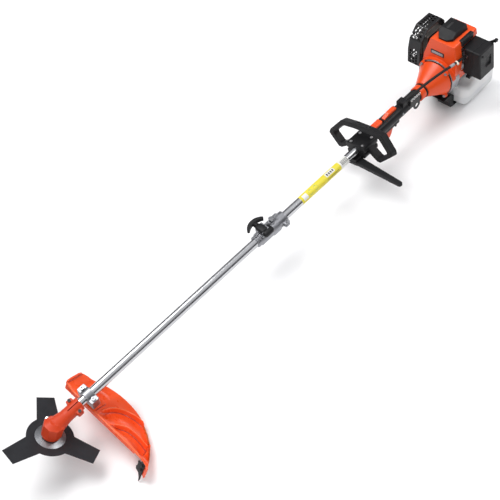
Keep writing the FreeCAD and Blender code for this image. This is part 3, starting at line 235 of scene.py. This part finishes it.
def make_materials():
    made = {}
    orange, head_red, black = (0.79, 0.074, 0.008), (0.58, 0.046, 0.008), (0.0075, 0.0075, 0.0085)
    made["orange_plastic"] = moulded_plastic("orange_plastic", orange, 0.34, 1400.0, 0.00008, 1.15,
                                             Coat_Weight=0.08, Coat_Roughness=0.2, Specular_IOR_Level=0.36)
    made["head_paint"] = moulded_plastic("head_paint", head_red, 0.42, 700.0, 0.0003, 1.5,
                                         Specular_IOR_Level=0.35)
    made["black_plastic"] = moulded_plastic("black_plastic", black, 0.44, 2600.0, 0.00022, 2.4,
                                            Specular_IOR_Level=0.26)
    made["grey_plastic"] = moulded_plastic("grey_plastic", (0.3, 0.31, 0.32), 0.45, 1600.0, 0.0001)
    made["polished_aluminium"] = turned_metal("polished_aluminium", (0.56, 0.565, 0.58), 0.2,
                                              (0.04, 1.0, 1.0), 0.00003)
    made["cast_aluminium"] = cast_metal("cast_aluminium", (0.33, 0.335, 0.355), 0.4)
    made["scorched_steel"] = cast_metal("scorched_steel", (0.16, 0.15, 0.14), 0.5)
    made["machined_steel"] = turned_metal("machined_steel", (0.29, 0.295, 0.31), 0.3,
                                          (1.0, 1.0, 1.0), 0.00004)
    made["bright_zinc"] = turned_metal("bright_zinc", (0.82, 0.82, 0.82), 0.3, (1.0, 1.0, 1.0), 0.00003)
    made["blackened_steel"] = painted_metal("blackened_steel", (0.012, 0.0125, 0.015), 0.4)
    made["painted_black_metal"] = painted_metal("painted_black_metal", (0.008, 0.008, 0.009), 0.4)
    made["black_rubber"] = moulded_plastic("black_rubber", (0.012, 0.010, 0.010), 0.6, 900.0, 0.0002, 1.5,
                                           Specular_IOR_Level=0.3)
    made["primer"] = moulded_plastic("primer", (0.66, 0.67, 0.6), 0.3, 500.0, 0.00004, 1.05,
                                     Transmission_Weight=0.35)
    rope = Paint("rope")
    strands = rope.node("ShaderNodeTexWave", wave_type="BANDS", bands_direction="DIAGONAL")
    strands.inputs["Scale"].default_value = 520.0
    strands.inputs["Distortion"].default_value = 1.5
    rope.link(rope.where, strands.inputs["Vector"])
    rope.colour(rope.ramp(strands.outputs["Fac"], [(0.2, (0.02, 0.02, 0.022)), (0.8, (0.16, 0.16, 0.17))]))
    rope.roughness(rope.span(rope.noise(400.0), 0.7, 0.9))
    rope.bump(strands.outputs["Fac"], 0.8, 0.0004)
    made["rope"] = rope.material
    tank = Paint("tank_plastic", Subsurface_Weight=0.45, Subsurface_Radius=(0.02, 0.02, 0.022),
                 Subsurface_Scale=0.6, Transmission_Weight=0.12, Coat_Weight=0.2, Coat_Roughness=0.25)
    split = tank.node("ShaderNodeSeparateXYZ")
    tank.link(tank.where, split.inputs["Vector"])
    level = tank.node("ShaderNodeMapRange")
    level.inputs["From Min"].default_value = at(0, 0, -84.0).z
    level.inputs["From Max"].default_value = at(0, 0, -80.0).z
    tank.link(split.outputs["Z"], level.inputs["Value"])
    milky = tank.ramp(tank.noise(14.0), [(0.3, (0.86, 0.87, 0.89)), (0.7, (0.93, 0.94, 0.95))])
    full = tank.ramp(tank.noise(14.0), [(0.3, (0.76, 0.78, 0.81)), (0.7, (0.85, 0.87, 0.89))])
    tank.colour(tank.mix(level.outputs["Result"], full, milky))
    tank.roughness(tank.span(tank.noise(50.0), 0.3, 0.42))
    tank.bump(tank.noise(420.0), 0.25, 0.0002)
    made["tank_plastic"] = tank.material
    guard = Paint("guard_plastic", Subsurface_Weight=0.15, Subsurface_Radius=(0.012, 0.004, 0.002),
                  Subsurface_Scale=0.5, Coat_Weight=0.2, Coat_Roughness=0.18)
    flow = guard.noise(9.0, 3.0, (1.0, 2.2, 1.0))
    base = guard.ramp(flow, [(0.3, (0.80, 0.066, 0.009)), (0.7, (0.88, 0.09, 0.014))])
    # Painted shade: concave creases between the pleats darkened to deep orange, standing in for the shadow
    # below each ridge.
    crease_painted_shade = guard.mix(guard.edge_wear_and_painted_light(0.499, 0.47), base, (0.42, 0.024, 0.005))
    # Painted highlight: convex edges and ridges lightened to salmon orange, standing in for highlights.
    guard.colour(guard.mix(guard.edge_wear_and_painted_light(0.52, 0.6), crease_painted_shade, (0.97, 0.21, 0.06)))
    guard.roughness(guard.span(guard.noise(45.0), 0.24, 0.36))
    guard.bump(guard.noise(900.0, 2.0), 0.3, 0.0001)
    made["guard_plastic"] = guard.material
    for name, colour in (("label_yellow", (0.72, 0.62, 0.045)), ("label_white", (0.74, 0.74, 0.71)),
                         ("label_teal", (0.03, 0.30, 0.27)), ("label_red", (0.6, 0.08, 0.025)),
                         ("label_black", (0.02, 0.02, 0.02)), ("tie_nylon", (0.82, 0.78, 0.66)),
                         ("plate_grey", (0.3, 0.31, 0.33))):
        made[name] = moulded_plastic(name, colour, 0.34, 700.0, 0.00003, 1.05)
    return made


MATERIALS = make_materials()


# ---- mesh helpers -------------------------------------------------------------------------
def new_piece(name, mesh, body, material):
    piece = bpy.data.objects.new(name, mesh)
    SCENE.collection.objects.link(piece)
    mesh.materials.clear()
    mesh.materials.append(MATERIALS[material])
    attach(piece, body)
    return piece


def evaluated(source, modifiers):
    """The mesh that comes out of a stack of modifiers on a copy of source."""
    helper = bpy.data.objects.new("helper", source)
    SCENE.collection.objects.link(helper)
    for kind, settings in modifiers:
        made = helper.modifiers.new(kind.lower(), kind)
        for key, value in settings.items():
            setattr(made, key, value)
    graph = bpy.context.evaluated_depsgraph_get()
    mesh = bpy.data.meshes.new_from_object(helper.evaluated_get(graph))
    bpy.data.objects.remove(helper)
    return mesh


def softened(node, voxel, turns, material=None, cutter=None, shape=None):
    """A CAD node's shape with its edges rounded as moulding or casting rounds them."""
    stack = []
    if cutter is not None:
        stack.append(("WELD", {"merge_threshold": 0.02 * MM}))
        stack.append(("BOOLEAN", {"object": cutter, "operation": "DIFFERENCE", "solver": "EXACT",
                                  "use_self": True}))
    stack.append(("REMESH", {"mode": "VOXEL", "voxel_size": voxel * MM, "use_smooth_shade": True}))
    stack.append(("SMOOTH", {"factor": 0.5, "iterations": turns}))
    mesh = evaluated(NODES[node].data.copy(), stack)
    if shape is not None:
        for vertex in mesh.vertices:
            vertex.co = shape(vertex.co)
    slot = SLOT_OF[node]
    piece = new_piece(node + "_skin", mesh, BODY_OF[node], material or slot)
    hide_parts(node)
    return piece


def mesh_from(name, build):
    mesh = bpy.data.meshes.new(name)
    work = bmesh.new()
    build(work)
    bmesh.ops.recalc_face_normals(work, faces=work.faces)
    work.to_mesh(mesh)
    work.free()
    return mesh


def smooth_shaded(mesh):
    for polygon in mesh.polygons:
        polygon.use_smooth = True
    return mesh


def ring_of(work, steps, spot):
    """A closed loop of vertices, where spot gives the place of each turn angle."""
    return [work.verts.new(spot(2 * math.pi * k / steps)) for k in range(steps)]


def join_rings(work, rings):
    """Quads between each ring and the next."""
    for low, high in zip(rings, rings[1:]):
        count = len(low)
        for k in range(count):
            work.faces.new((low[k], low[(k + 1) % count], high[(k + 1) % count], high[k]))


def profile_rings(work, profile, place, steps):
    """Rings of a (radius, height) profile round the axis of place."""
    return [ring_of(work, steps, lambda turn: place @ Vector((radius * math.cos(turn), radius * math.sin(turn),
                                                              height)))
            for radius, height in profile]


def lathe(work, profile, place, steps=32):
    """A turned solid: the profile's rings joined, with a flat cap on each end."""
    rings = profile_rings(work, profile, place, steps)
    join_rings(work, rings)
    work.faces.new(rings[0])
    work.faces.new(rings[-1])


def closed_ring(work, profile, place, steps=24):
    """A ring whose closed profile goes round the axis of place."""
    rings = profile_rings(work, profile, place, steps)
    join_rings(work, rings + rings[:1])


def block_faces(work, low, high, spot):
    """The six faces between two opposite corners; spot puts each corner in the frame."""
    verts = [work.verts.new(spot(x, y, z)) for x in (low[0], high[0]) for y in (low[1], high[1])
             for z in (low[2], high[2])]
    for quad in ((0, 1, 3, 2), (4, 5, 7, 6), (0, 1, 5, 4), (2, 3, 7, 6), (0, 2, 6, 4), (1, 3, 7, 5)):
        work.faces.new([verts[k] for k in quad])


def facing(point, direction):
    """A matrix that puts a part drawn along +Z, in millimetres, at a point of the frame."""
    turn = Vector((0, 0, 1)).rotation_difference(Vector(direction)).to_matrix().to_4x4()
    return Matrix.Translation(point) @ turn @ Matrix.Scale(MM, 4)


def screw_heads(name, places, radius, height, material="machined_steel"):
    """Pan heads with a round socket: each place is a point of the frame and a direction."""
    def build(work):
        for point, direction in places:
            place = facing(point, direction)
            lathe(work, [(radius * 0.2, -0.6), (radius, -0.6), (radius, height * 0.5),
                         (radius * 0.86, height * 0.85), (radius * 0.66, height), (radius * 0.5, height),
                         (radius * 0.46, height * 0.35), (radius * 0.1, height * 0.3)], place, 24)
    return new_piece(name, smooth_shaded(mesh_from(name, build)), "chassis", material)


def bevelled_block(name, low, high, material, radius):
    """A block with rounded edges; low and high are corners in millimetres of the drawing."""
    def build(work):
        block_faces(work, low, high, at)
        bmesh.ops.recalc_face_normals(work, faces=work.faces)
        bmesh.ops.bevel(work, geom=list(work.edges), offset=radius * MM, segments=3, affect="EDGES",
                        profile=0.5)
    return new_piece(name, smooth_shaded(mesh_from(name, build)), "chassis", material)


def tube_patch(work, outline, radius, thickness):
    """A flat outline of (along, round) millimetres, wrapped on the shaft tube."""
    rings = []
    for level in (radius, radius + thickness):
        rings.append([work.verts.new(at(x, level * math.cos(arc / radius), level * math.sin(arc / radius)))
                      for x, arc in outline])
    work.faces.new(rings[1])
    join_rings(work, rings)


def wrapped_band(work, x0, x1, arc0, arc1, radius, thickness, steps=24):
    """A rectangle of the label, in strips so that it follows the tube."""
    for k in range(steps):
        a = arc0 + (arc1 - arc0) * k / steps
        b = arc0 + (arc1 - arc0) * (k + 1) / steps
        quad = []
        for x, arc in ((x0, a), (x1, a), (x1, b), (x0, b)):
            turn = arc / radius
            quad.append(work.verts.new(at(x, (radius + thickness) * math.cos(turn),
                                          (radius + thickness) * math.sin(turn))))
        work.faces.new(quad)
    bmesh.ops.remove_doubles(work, verts=work.verts, dist=1e-6)


# ---- carried-over CAD nodes ---------------------------------------------------------------
for node, thing in NODES.items():
    thing.data.materials.clear()
    thing.data.materials.append(MATERIALS[SLOT_OF[node]])
    for polygon in thing.data.polygons:
        polygon.material_index = 0

for node, finish in (("clamp_screws", "blackened_steel"), ("handle_screws", "bright_zinc"),
                     ("grease_plug", "bright_zinc")):
    NODES[node].data.materials[0] = MATERIALS[finish]

# ---- softened pieces ----------------------------------------------------------------------
SOFT = [
    ("guard_bracket", 0.7, 3), ("line_cutter", 0.7, 3),
    ("coupler_housing", 0.8, 4), ("coupler_knob", 0.7, 5), ("locating_pin", 0.5, 3),
    ("loop_handle", 1.1, 7), ("handle_clamp", 1.1, 5), ("barrier_bar", 1.0, 6),
    ("grip_left", 0.8, 5), ("grip_right", 0.8, 5), ("throttle_trigger", 0.6, 6),
    ("lockout_lever", 0.5, 5), ("stop_switch", 0.45, 4), ("harness_hanger", 0.7, 4),
    ("clutch_housing", 1.0, 6), ("engine_shroud", 1.0, 6), ("top_cover", 0.9, 6),
    ("air_filter_case", 0.9, 5), ("air_filter_cover", 0.9, 5), ("choke_lever", 0.5, 4),
    ("fuel_tank", 1.3, 5), ("fuel_cap", 0.6, 4), ("tank_stand", 1.0, 4), ("crankcase", 1.0, 4),
    ("starter_housing", 1.0, 5), ("starter_grip", 0.7, 6), ("carburettor", 0.7, 4), ("primer_bulb", 0.5, 4),
]
for node, voxel, turns in SOFT:
    softened(node, voxel, turns)
softened("muffler", 1.0, 5, "scorched_steel")
softened("gear_head_casing", 0.8, 7, "head_paint")

# ---- guard --------------------------------------------------------------------------------
GUARD_TOP = 15.0                # the plate's upper face, in the blade's own frame
GUARD_FRONT = -108.0
GUARD_CENTRE_Y = 45.0
GUARD_LEFT_Y = 206.0
CROWN = 7.0                     # how far the rim lies below the plate's middle
STEP = 12.0                     # how far the plate steps down behind a ridge
FADE = 70.0
CURL = 12.0                     # how far the right end curls up
BRACKET_X = -131.0
BRACKET_CLEAR = 30.0            # the plate stays flat this far round the bracket
TO_HEAD = Matrix.Rotation(-HEAD_TILT, 3, "Y") @ Matrix.Rotation(-HEAD_ROLL, 3, "X")
RIDGES = [((-128.0, 38.0), (-178.0, 66.0), (-194.0, 132.0)),
          ((-121.0, 86.0), (-148.0, 118.0), (-153.0, 196.0))]


def circle_through(a, b, c):
    """Centre and radius of the circle through three points."""
    (ax, ay), (bx, by), (cx, cy) = a, b, c
    twice_area = 2 * (ax * (by - cy) + bx * (cy - ay) + cx * (ay - by))
    aa, bb, cc = ax * ax + ay * ay, bx * bx + by * by, cx * cx + cy * cy
    ux = (aa * (by - cy) + bb * (cy - ay) + cc * (ay - by)) / twice_area
    uy = (aa * (cx - bx) + bb * (ax - cx) + cc * (bx - ax)) / twice_area
    return ux, uy, math.hypot(ax - ux, ay - uy)


RIDGE_CIRCLES = [circle_through(*points) for points in RIDGES]


def eased(value):
    """0 below 0, 1 above 1, and a smooth step between."""
    value = min(1.0, max(0.0, value))
    return value * value * (3 - 2 * value)


def guard_form(point):
    """Crown the plate, step it down behind each ridge like a pleated fan, and curl its right end up."""
    local = TO_HEAD @ (point / MM + EYE)
    height = eased((local.z - GUARD_TOP + 12.0) / 10.0)
    reach = math.hypot(local.x, local.y - GUARD_CENTRE_Y)
    drop = CROWN * eased((reach - 150.0) / 60.0)
    for cx, cy, radius in RIDGE_CIRCLES:
        past = radius - math.hypot(local.x - cx, local.y - cy)
        behind_front = eased((GUARD_FRONT - 2.0 - local.x) / 24.0)
        drop += STEP * eased((past + 2.0) / 5.0) * (1 - eased(past / FADE)) * behind_front
    clear = eased((math.hypot(local.x - BRACKET_X, local.y) - BRACKET_CLEAR) / 20.0)
    curl = CURL * eased((-50.0 - local.y) / 34.0) * (1 - eased((local.z - GUARD_TOP) / 22.0))
    local.z += (curl - drop * clear) * height
    return (TO_HEAD.transposed() @ local - EYE) * MM


BEAD_R = 3.4
BEAD_STEPS = 72
softened("guard_shell", 1.2, 5, "guard_plastic", shape=guard_form)


def bead_build(work):
    """The rolled front edge of the guard, thicker than the plate, from end to end."""
    rings = []
    right_y = -80.0
    run = GUARD_LEFT_Y - 2.0 - right_y
    for k in range(BEAD_STEPS + 1):
        y = right_y + run * k / BEAD_STEPS
        swell = BEAD_R * min(1.0, 0.35 + 0.65 * eased(min(k, BEAD_STEPS - k) / 4.0))
        rings.append(ring_of(work, 12, lambda turn: guard_form(head_point(
            GUARD_FRONT - 2.0 + swell * math.cos(turn), y, GUARD_TOP - 0.6 + swell * math.sin(turn)))))
    join_rings(work, rings)
    work.faces.new(rings[0])
    work.faces.new(rings[-1])


new_piece("guard_bead", smooth_shaded(mesh_from("guard_bead", bead_build)), "attachment", "guard_plastic")

# ---- muffler guard with its honeycomb -----------------------------------------------------
HEX_R = 4.6
HEX_PITCH = 11.0
GUARD_COLUMNS = (-101.0, -90.0, -79.0)      # y of the columns of holes on the front and the top
NOSE_X = -1568.0
SIDE_Y = -112.0


def hex_prism(work, centre, direction, up, depth):
    """A six-sided cutter through centre, depth millimetres long on each side."""
    side = direction.cross(up).normalized()
    rings = []
    for end in (-depth, depth):
        middle = centre + direction * end - EYE
        rings.append(ring_of(work, 6, lambda turn: (
            middle + (side * math.cos(turn) + up * math.sin(turn)) * HEX_R) * MM))
    work.faces.new(rings[0])
    work.faces.new(list(reversed(rings[1])))
    join_rings(work, rings)


def honeycomb(work):
    """Every hole of the muffler guard: on its front, its slanting face, its top and its side."""
    ahead, outside, above = Vector((1, 0, 0)), Vector((0, 1, 0)), Vector((0, 0, 1))
    for column, y in enumerate(GUARD_COLUMNS):
        shift = 0.5 * (column % 2)
        for k in range(5):
            hex_prism(work, Vector((NOSE_X, y, 12.0 + HEX_PITCH * (k + shift))), ahead, above, 12.0)
    slant = (above - ahead).normalized()
    outward = (above + ahead).normalized()
    for column, y in enumerate(GUARD_COLUMNS):
        for k in range(4):
            along = 4.0 + HEX_PITCH * (k + 0.5 * (column % 2))
            hex_prism(work, Vector((NOSE_X - 6.0, y, 96.0)) + slant * along, outward, slant, 12.0)
    for column, y in enumerate(GUARD_COLUMNS):
        for k in range(7):
            x = NOSE_X - 46.0 - HEX_PITCH * (k + 0.5 * (column % 2))
            if x > -1680.0:
                hex_prism(work, Vector((x, y, 128.0)), above, ahead, 9.0)
    for row in range(9):
        for k in range(9):
            x = NOSE_X - 18.0 - HEX_PITCH * (k + 0.5 * (row % 2))
            hex_prism(work, Vector((x, SIDE_Y, 6.0 + HEX_PITCH * 1.1 * row)), outside, above, 9.0)


comb = bpy.data.objects.new("comb", mesh_from("comb", honeycomb))
SCENE.collection.objects.link(comb)
softened("muffler_guard", 0.8, 3, "painted_black_metal", cutter=comb)
bpy.data.objects.remove(comb)

# ---- throttle cable -----------------------------------------------------------------------
CABLE_ROUTE = [at(-1390, 3, 24), at(-1452, 19, 44.5), at(-1513, 43, 69), at(-1566, 66, 86.5),
               at(-1614.3, 68, 81)]
CABLE_D = 8.4 * MM
curve = bpy.data.curves.new("throttle_cable_sleeve", "CURVE")
curve.dimensions = "3D"
spline = curve.splines.new("NURBS")
spline.points.add(len(CABLE_ROUTE) - 1)
for point, place in zip(spline.points, CABLE_ROUTE):
    point.co = (*place, 1.0)
spline.order_u = 3
spline.use_endpoint_u = True
curve.resolution_u = 24
curve.bevel_depth = CABLE_D / 2
curve.bevel_resolution = 6
curve.use_fill_caps = True
cable = bpy.data.objects.new("throttle_cable_sleeve", curve)
SCENE.collection.objects.link(cable)
curve.materials.append(MATERIALS["black_rubber"])
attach(cable, "chassis")
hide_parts("throttle_cable")


def cable_line():
    """The cable's centreline as points, as the curve really runs."""
    bare = curve.copy()
    bare.bevel_depth = 0.0
    helper = bpy.data.objects.new("helper", bare)
    SCENE.collection.objects.link(helper)
    graph = bpy.context.evaluated_depsgraph_get()
    mesh = bpy.data.meshes.new_from_object(helper.evaluated_get(graph))
    line = [vertex.co.copy() for vertex in mesh.vertices]
    bpy.data.objects.remove(helper)
    return line


LINE = cable_line()
CABLE_LENGTH = sum((b - a).length for a, b in zip(LINE, LINE[1:]))


def along_cable(share):
    """A point and a direction on the cable, at a share of its length."""
    target = share * CABLE_LENGTH
    for a, b in zip(LINE, LINE[1:]):
        step = (b - a).length
        if target <= step:
            return a + (b - a) * (target / step), (b - a).normalized()
        target -= step
    return LINE[-1], (LINE[-1] - LINE[-2]).normalized()


def collar(name, share, width, thick, material, extra=None):
    """A ring round the cable: a tie or a sleeve."""
    point, direction = along_cable(share)
    radius = CABLE_D / 2 / MM

    def build(work):
        place = facing(point, direction)
        profile = [(radius - 0.4, -width / 2), (radius + thick, -width / 2), (radius + thick * 1.1, 0.0),
                   (radius + thick, width / 2), (radius - 0.4, width / 2)]
        lathe(work, profile, place, 28)
        if extra is not None:
            extra(work, place)
    return new_piece(name, smooth_shaded(mesh_from(name, build)), "chassis", material)


def tie_head(work, place):
    block_faces(work, (-3.2, 3.6, -2.6), (3.2, 8.6, 2.6), lambda x, y, z: place @ Vector((x, y, z)))


tie = collar("cable_tie", 0.83, 4.5, 1.1, "tie_nylon", tie_head)
boot = collar("cable_grey_sleeve", 0.76, 16.0, 0.5, "plate_grey")

# ---- starter rope -------------------------------------------------------------------------
ROPE_X = -1722.0
ROPE_Y = -4.0
ROPE_LOW = at(ROPE_X, ROPE_Y, 60.0)


def rope_build(work):
    """A braided rope: its radius swells and shrinks a little along its length."""
    steps = 96
    profile = [(2.0 + 0.12 * math.sin(k * 1.4), 12.0 * k / steps) for k in range(steps + 1)]
    lathe(work, profile, facing(ROPE_LOW, (0, 0, 1)), 14)


rope = bpy.data.objects.new("starter_rope_braid", smooth_shaded(mesh_from("starter_rope_braid", rope_build)))
SCENE.collection.objects.link(rope)
rope.data.materials.append(MATERIALS["rope"])
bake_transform(rope)
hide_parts("starter_rope")

# ---- label on the tube --------------------------------------------------------------------
LABEL_FRONT = -920.0
LABEL_REAR = -1124.0
LABEL_HALF = 27.0               # half of the label's width, measured round the tube
FACE_ARC = TUBE_R * math.radians(58.0)


def label_piece(name, material, build):
    return new_piece(name, mesh_from(name, build), "chassis", material)


label_piece("label_base", "label_yellow",
            lambda work: wrapped_band(work, LABEL_FRONT, LABEL_REAR, FACE_ARC - LABEL_HALF,
                                      FACE_ARC + LABEL_HALF, TUBE_R, 0.10))


def whites(work):
    wrapped_band(work, -928.0, -946.0, FACE_ARC - 9, FACE_ARC + 9, TUBE_R, 0.18)
    wrapped_band(work, -1030.0, -1066.0, FACE_ARC - 2, FACE_ARC + 12, TUBE_R, 0.18)
    wrapped_band(work, -1090.0, LABEL_REAR, FACE_ARC - LABEL_HALF, FACE_ARC + LABEL_HALF, TUBE_R, 0.18)


def discs(work):
    radius = 7.5
    for x in (-960.0, -982.0):
        tube_patch(work, [(x + radius * math.cos(math.pi * k / 14),
                           FACE_ARC + radius * math.sin(math.pi * k / 14)) for k in range(28)], TUBE_R, 0.2)


def triangle(work):
    tube_patch(work, [(-1000.0, FACE_ARC - 8), (-1016.0, FACE_ARC - 8), (-1008.0, FACE_ARC + 7)], TUBE_R, 0.2)


def marks(work):
    for k in range(4):
        x = -1034.0 - 8.0 * k
        wrapped_band(work, x, x - 4.5, FACE_ARC + 1, FACE_ARC + 8, TUBE_R, 0.26, 6)
    for k in range(7):
        x = -1096.0 - 4.0 * k
        wrapped_band(work, x, x - 2.0, FACE_ARC - 6, FACE_ARC + 8, TUBE_R, 0.26, 8)
    for k in range(2):
        wrapped_band(work, -1028.0, -1080.0, FACE_ARC - 8 - 3.4 * k, FACE_ARC - 7 - 3.4 * k, TUBE_R, 0.2, 2)


label_piece("label_panels", "label_white", whites)
label_piece("label_discs", "label_teal", discs)
label_piece("label_triangle", "label_red", triangle)
label_piece("label_marks", "label_black", marks)

# ---- nameplate, screws and small parts ----------------------------------------------------
bevelled_block("nameplate_frame", (-1573.6, -30.0, 78.0), (-1571.6, 18.0, 93.0), "black_plastic", 0.7)
bevelled_block("nameplate_face", (-1572.4, -26.0, 81.0), (-1571.2, 14.0, 90.0), "plate_grey", 0.3)

CLUTCH_SCREW_R = 62.0
clutch_places = []
for k in range(4):
    turn = math.radians(45 + 90 * k)
    spot = at(-1548.0, CLUTCH_SCREW_R * math.cos(turn), CLUTCH_SCREW_R * math.sin(turn))
    clutch_places.append((spot, (1, 0, 0)))
screw_heads("clutch_screws", clutch_places, 4.6, 3.6)
screw_heads("grip_screws", [(at(x, side * 19.2, 2.0), (0, side, 0))
                            for side in (1, -1) for x in (-1252.0, -1372.0)], 3.6, 1.6)
screw_heads("air_filter_screw", [(at(-1626.0, 119.2, 94.0), (0, 1, 0))], 5.0, 2.4, "black_plastic")
screw_heads("hanger_screws", [(at(x, -16.6, 8.0), (0, -1, 0)) for x in (-1420.0, -1446.0)], 3.4, 2.0)


def eyelets(work):
    """The row of eyelets along the harness hanger."""
    for k in range(4):
        closed_ring(work, [(3.5, -0.5), (3.6, 0.9), (5.0, 0.9), (5.4, 0.3), (5.4, -0.3)],
                    facing(at(-1415.0 - 12.0 * k, 19.0, 25.0), (0, 1, 0)))


def clutch_seals(work):
    """Rubber rings in the clutch collar's groove and at its front end."""
    for x, radius in ((-1485.0, 24.4), (-1458.5, 19.5)):
        closed_ring(work, [(radius - 3.0, 0.0), (radius, 0.0), (radius + 0.4, 2.5), (radius, 5.0),
                           (radius - 3.0, 5.0)], facing(at(x - 5.0, 0.0, 0.0), (1, 0, 0)), 48)


new_piece("hanger_eyelets", smooth_shaded(mesh_from("hanger_eyelets", eyelets)), "chassis", "bright_zinc")
new_piece("clutch_seals", smooth_shaded(mesh_from("clutch_seals", clutch_seals)), "chassis", "black_rubber")
bevelled_block("coupler_cover_front", (-776.0, -16.2, 22.0), (-752.0, 16.0, 37.0), "black_plastic", 5.5)
bevelled_block("coupler_cover_rear", (-787.0, 0.0, 17.0), (-752.0, 28.0, 34.0), "black_plastic", 6.5)
# A black strip on the top cover: painted shade standing for the dark inside of its slot.
bevelled_block("cover_slot", (-1652.0, -12.0, 148.0), (-1620.0, -5.0, 150.4), "label_black", 0.8)
# A black block along the shroud's upper right edge: partly the intake, partly painted shade standing for the
# shadow beside it.
bevelled_block("shroud_intake_and_shade_block", (-1668.0, 43.0, 112.0), (-1607.0, 57.5, 134.4), "black_plastic", 4.0)

# ---- camera, floor and light --------------------------------------------------------------
FILM = 36.0
LENS = 66.2616
CAMERA_AT = (1.7176, 1.2302, 1.9843)
right = Vector((-0.679, 0.7244, -0.1185)).normalized()
forward = Vector((-0.388, -0.4913, -0.7799)).normalized()
up = right.cross(forward).normalized()
right = forward.cross(up).normalized()
turn = Matrix((right, up, -forward)).transposed().to_4x4()
camera_data = bpy.data.cameras.new("camera")
camera_data.sensor_width = FILM
camera_data.lens = LENS
camera = bpy.data.objects.new("camera", camera_data)
camera.matrix_world = Matrix.Translation(CAMERA_AT) @ turn
SCENE.collection.objects.link(camera)
SCENE.camera = camera

floor_mesh = mesh_from("floor", lambda work: bmesh.ops.create_grid(work, x_segments=8, y_segments=8,
                                                                   size=9.0))
floor = bpy.data.objects.new("floor", floor_mesh)
floor.location = (0.0, 0.0, cad_low.z - 0.001)
SCENE.collection.objects.link(floor)
pale = Paint("floor", Roughness=0.9, Specular_IOR_Level=0.1)
pale.colour(pale.ramp(pale.noise(2.0), [(0.3, (0.93, 0.93, 0.93)), (0.7, (0.95, 0.95, 0.95))]))
floor_mesh.materials.append(pale.material)


def area_light(name, place, aim, size, energy):
    data = bpy.data.lights.new(name, "AREA")
    data.shape = "DISK"
    data.size = size
    data.energy = energy
    lamp = bpy.data.objects.new(name, data)
    lamp.location = place
    lamp.rotation_mode = "QUATERNION"
    lamp.rotation_quaternion = (Vector(aim) - Vector(place)).to_track_quat("-Z", "Y")
    SCENE.collection.objects.link(lamp)


area_light("key", (0.9, -1.4, 3.4), (0.5, 0.0, 0.0), 2.4, 94.0)
area_light("fill", (2.6, 2.0, 2.4), (0.5, 0.0, 0.0), 1.6, 26.0)
area_light("back", (-2.0, 1.0, 2.4), (-0.1, 0.0, 0.0), 1.2, 30.0)
SCENE.view_settings.view_transform = "Standard"

world = bpy.data.worlds.new("studio")
SCENE.world = world
world.use_nodes = True
tree = world.node_tree
sky = tree.nodes["Background"]
where = tree.nodes.new("ShaderNodeTexCoord")
split = tree.nodes.new("ShaderNodeSeparateXYZ")
shade = tree.nodes.new("ShaderNodeValToRGB")
tree.links.new(where.outputs["Generated"], split.inputs["Vector"])
tree.links.new(split.outputs["Z"], shade.inputs["Fac"])
tree.links.new(shade.outputs["Color"], sky.inputs["Color"])
stops = shade.color_ramp.elements
stops[0].position, stops[0].color = 0.02, (0.03, 0.03, 0.035, 1.0)
stops[1].position, stops[1].color = 0.85, (0.9, 0.9, 0.92, 1.0)
middle = stops.new(0.4)
middle.color = (0.16, 0.16, 0.17, 1.0)
sky.inputs["Strength"].default_value = 0.95
